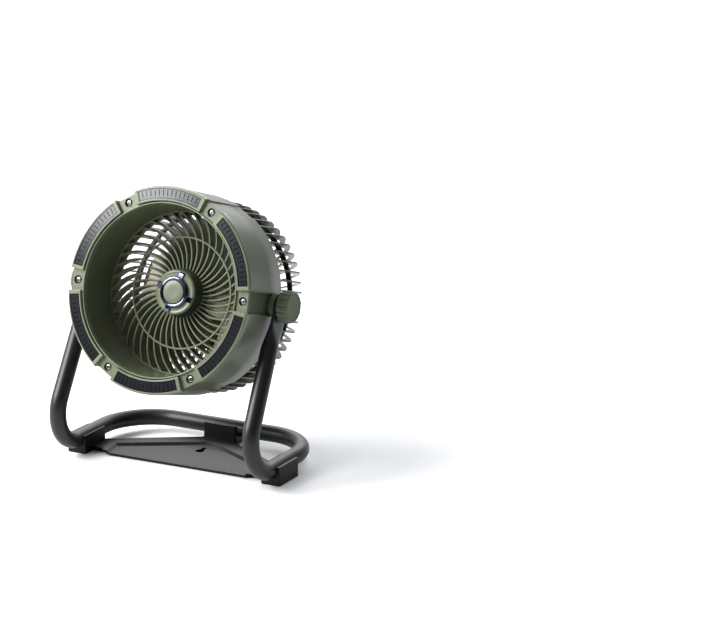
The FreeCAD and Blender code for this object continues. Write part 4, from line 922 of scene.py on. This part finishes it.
def tube_rows():
    """Sections of the right half: flattened eye, crushed transition, then the round tube."""
    count = 40
    across = Vector((0, LEG[1], -LEG[0]))
    down = Vector((0, -LEG[0], -LEG[1] * math.cos(TUBE_LEAN)))
    outward = Vector((1, 0, 0))
    middle_x = TAB_INNER + TAB_THICK / 2
    leg_x = leaned(0, PIVOT_RISE - CRUSH_LENGTH * LEG[1]).x

    def section(distance, half_width, half_thick, x, power):
        centre = Vector((x, PIVOT_Y, PIVOT_Z)) + down * distance
        row = []
        for i in range(count):
            a = 2 * math.pi * i / count
            c, s = math.cos(a), math.sin(a)
            w = half_width * math.copysign(abs(c) ** power, c)
            t = half_thick * math.copysign(abs(s) ** power, s)
            row.append(tuple(centre + across * w + outward * t))
        return row

    rows = []
    for i in range(13):
        a = math.radians(90.0 * (1 - i / 12))
        half_width = max(0.4, TAB_R * math.cos(a))
        thin = TAB_THICK / 2 * min(1.0, 0.35 + half_width / 4.0)
        rows.append(section(-TAB_R * math.sin(a), half_width, thin, middle_x, 0.45))
    rows.append(section(TAB_LENGTH * 0.5, TAB_R, TAB_THICK / 2, middle_x, 0.45))
    steps = 12
    for i in range(steps + 1):
        t = i / steps
        ease = t * t * (3 - 2 * t)
        distance = TAB_LENGTH + (CRUSH_LENGTH - TAB_LENGTH) * t
        rows.append(section(distance, TAB_R + (TUBE_R - TAB_R) * ease,
                            TAB_THICK / 2 + (TUBE_R - TAB_THICK / 2) * ease,
                            middle_x + (leg_x - middle_x) * ease, 0.45 + 0.55 * ease))
    line = tube_line()
    previous = (line[1] - line[0]).normalized()
    side = (across - previous * across.dot(previous)).normalized()
    for i in range(1, len(line)):
        direction = (line[min(i + 1, len(line) - 1)] - line[i - 1]).normalized()
        side = (side - direction * side.dot(direction)).normalized()
        up = direction.cross(side).normalized()
        row = []
        for k in range(count):
            a = 2 * math.pi * k / count
            row.append(tuple(line[i] + side * TUBE_R * math.cos(a) + up * TUBE_R * math.sin(a)))
        rows.append(row)
    return rows


def make_tube():
    rows = tube_rows()
    left = [[(-p[0], p[1], p[2]) for p in row] for row in reversed(rows[:-1])]
    put("bent_tube", loft(rows + left), "stand", PAINT, ["stand_tube"], matrix=ROW)


def make_base():
    softened("base_plate", "stand", PLATE, 0.5)
    for name in ("foot_block_left", "foot_block_right", "foot_block_rear"):
        softened(name, "stand", BLACK, 0.35)
    softened("foot_pads", "stand", RUBBER, 0.4)


# ---------------------------------------------------------------------------
# Pod on the back, and everything inside
# ---------------------------------------------------------------------------

def rectangle_rod(x0, x1, y0, y1, z0, z1):
    """Closed box running along y."""
    return loft([[(x0, y, z0), (x1, y, z0), (x1, y, z1), (x0, y, z1)] for y in (y0, y1)])


def make_pod_cover():
    """Rounded plate with openings for the buttons, lights, socket and screws."""
    back = POD_BACK + COVER_THICK
    outline = [
        (0.0, POD_BACK), (0.0, back), (15.0, back), (30.0, back), (POD_R - 1.4, back),
        (POD_R - 1.2, back), (POD_R - 0.74, back - 0.09), (POD_R - 0.35, back - 0.35),
        (POD_R - 0.09, back - 0.74), (POD_R, back - 1.2), (POD_R, POD_BACK),
    ]
    cover = put("pod_cover_plate", lathe(outline, 160), "head", DRUM, ["pod_cover"])
    low, high = POD_BACK - 1.0, back + 1.0
    cutters = [cylinder(POWER_HOLE_R, low, high, 0.0, POWER_HOLE_Z),
               cylinder(LIGHT_HOLE_R, low, high, *LIGHT_HOLE),
               rectangle_rod(*SOCKET_HOLE_X, low, high, *SOCKET_HOLE_Z)]
    cutters += [cylinder(1.0, low, high, x, INDICATOR_Z, 20) for x in INDICATOR_XS]
    screw_sink = cylinder(2.5, back - 1.0, high, COVER_SCREW_R)
    cutters += [turned(screw_sink, angle) for angle in COVER_SCREW_ANGLES]
    cut(cover, joined(cutters))


def make_pod():
    make_pod_cover()
    softened("pod_housing", "head", DRUM, 0.5)
    softened("power_button", "power_button", BEZEL, 0.4)
    softened("light_button", "light_button", BEZEL, 0.3)
    dress(PIPE, "indicator_lights")
    dress(STEEL, "cover_screws", "usb_socket")


def dress_insides():
    dress(STEEL, "hub_screws", "cage_screws", "motor_screws", "foot_screws", "motor_shaft",
          "shaft_clip", "motor_bearings", "stator_core", "rotor_can", "clamp_bolt_right",
          "clamp_bolt_left")
    dress(BRASS, "pivot_insert_right", "pivot_insert_left")
    dress(COPPER, "stator_coils")
    dress(MAGNET, "rotor_magnets")
    dress(CAST, "motor_base")
    dress(BOARD, "control_board", "led_boards")
    dress(CELL, "battery_cell_lower", "battery_cell_upper")
    dress(BLACK, "battery_holder", "tact_switches")
    dress(RUBBER, "led_lead")


# ---------------------------------------------------------------------------
# Stage: floor, light and camera
# ---------------------------------------------------------------------------

def make_floor():
    size = 12.0
    mesh = bpy.data.meshes.new("floor")
    mesh.from_pydata([(-size, -size, 0), (size, -size, 0), (size, size, 0), (-size, size, 0)],
                     [], [(0, 1, 2, 3)])
    floor = bpy.data.objects.new("floor", mesh)
    bpy.context.scene.collection.objects.link(floor)
    mesh.materials.append(surface("floor_white", (0.86, 0.865, 0.875), 0.7, grain=400.0, bump=0.01,
                                  edge_highlight=1.0, blotch=0.004, specular=0.15))


def area_light(name, place, target, size, power):
    light = bpy.data.lights.new(name, "AREA")
    light.shape = "RECTANGLE"
    light.size, light.size_y = size
    light.energy = power
    lamp = bpy.data.objects.new(name, light)
    lamp.location = place
    aim = Vector(target) - Vector(place)
    lamp.rotation_euler = aim.to_track_quat("-Z", "Y").to_euler()
    lamp.visible_camera = False
    bpy.context.scene.collection.objects.link(lamp)


def make_world():
    """White studio: bright overhead and behind, dim towards the front and the right."""
    world = bpy.data.worlds.new("studio")
    world.use_nodes = True
    tree = world.node_tree
    background = tree.nodes["Background"]
    background.inputs["Color"].default_value = (0.96, 0.98, 1.0, 1)
    place = tree.nodes.new("ShaderNodeTexCoord")
    lean = tree.nodes.new("ShaderNodeVectorMath")
    lean.operation = "DOT_PRODUCT"
    lean.inputs[1].default_value = (-0.50, 0.45, 0.90)
    fall = tree.nodes.new("ShaderNodeMapRange")
    fall.interpolation_type = "SMOOTHSTEP"
    fall.inputs["From Min"].default_value = -0.05
    fall.inputs["From Max"].default_value = 0.85
    fall.inputs["To Min"].default_value = 0.06
    fall.inputs["To Max"].default_value = 0.95
    tree.links.new(place.outputs["Generated"], lean.inputs[0])
    tree.links.new(lean.outputs["Value"], fall.inputs["Value"])
    tree.links.new(fall.outputs["Result"], background.inputs["Strength"])
    bpy.context.scene.world = world


def make_light():
    make_world()
    target = (0, -0.03, 0.25)
    area_light("softbox_key", (-1.225, -1.081, 1.11), target, (1.2, 0.9), 43)
    area_light("softbox_back", (-0.6, 1.7, 1.2), target, (1.8, 1.0), 14)
    light = bpy.data.lights.new("overhead", "SUN")
    light.energy = 1.4
    light.angle = math.radians(30)
    lamp = bpy.data.objects.new("overhead", light)
    lamp.rotation_euler = Vector((0.68, 0.28, -0.75)).to_track_quat("-Z", "Y").to_euler()
    bpy.context.scene.collection.objects.link(lamp)


def make_camera():
    data = bpy.data.cameras.new("view")
    data.lens = 136.0
    data.sensor_width = 36.0
    data.clip_end = 60.0
    camera = bpy.data.objects.new("view", data)
    camera.location = (1.390, -2.3117, 0.886)
    camera.rotation_euler = (math.radians(74.75), math.radians(0.07), math.radians(27.3))
    bpy.context.scene.collection.objects.link(camera)
    bpy.context.scene.camera = camera
    bpy.context.scene.view_settings.view_transform = "Standard"
    bpy.context.scene.view_settings.look = "Medium High Contrast"


make_bezel()
make_windows()
make_bezel_screws()
make_drum()
make_duct()
make_grille()
make_hub()
make_cage()
make_impeller()
make_knobs()
make_tube()
make_base()
make_pod()
dress_insides()
make_floor()
make_light()
make_camera()
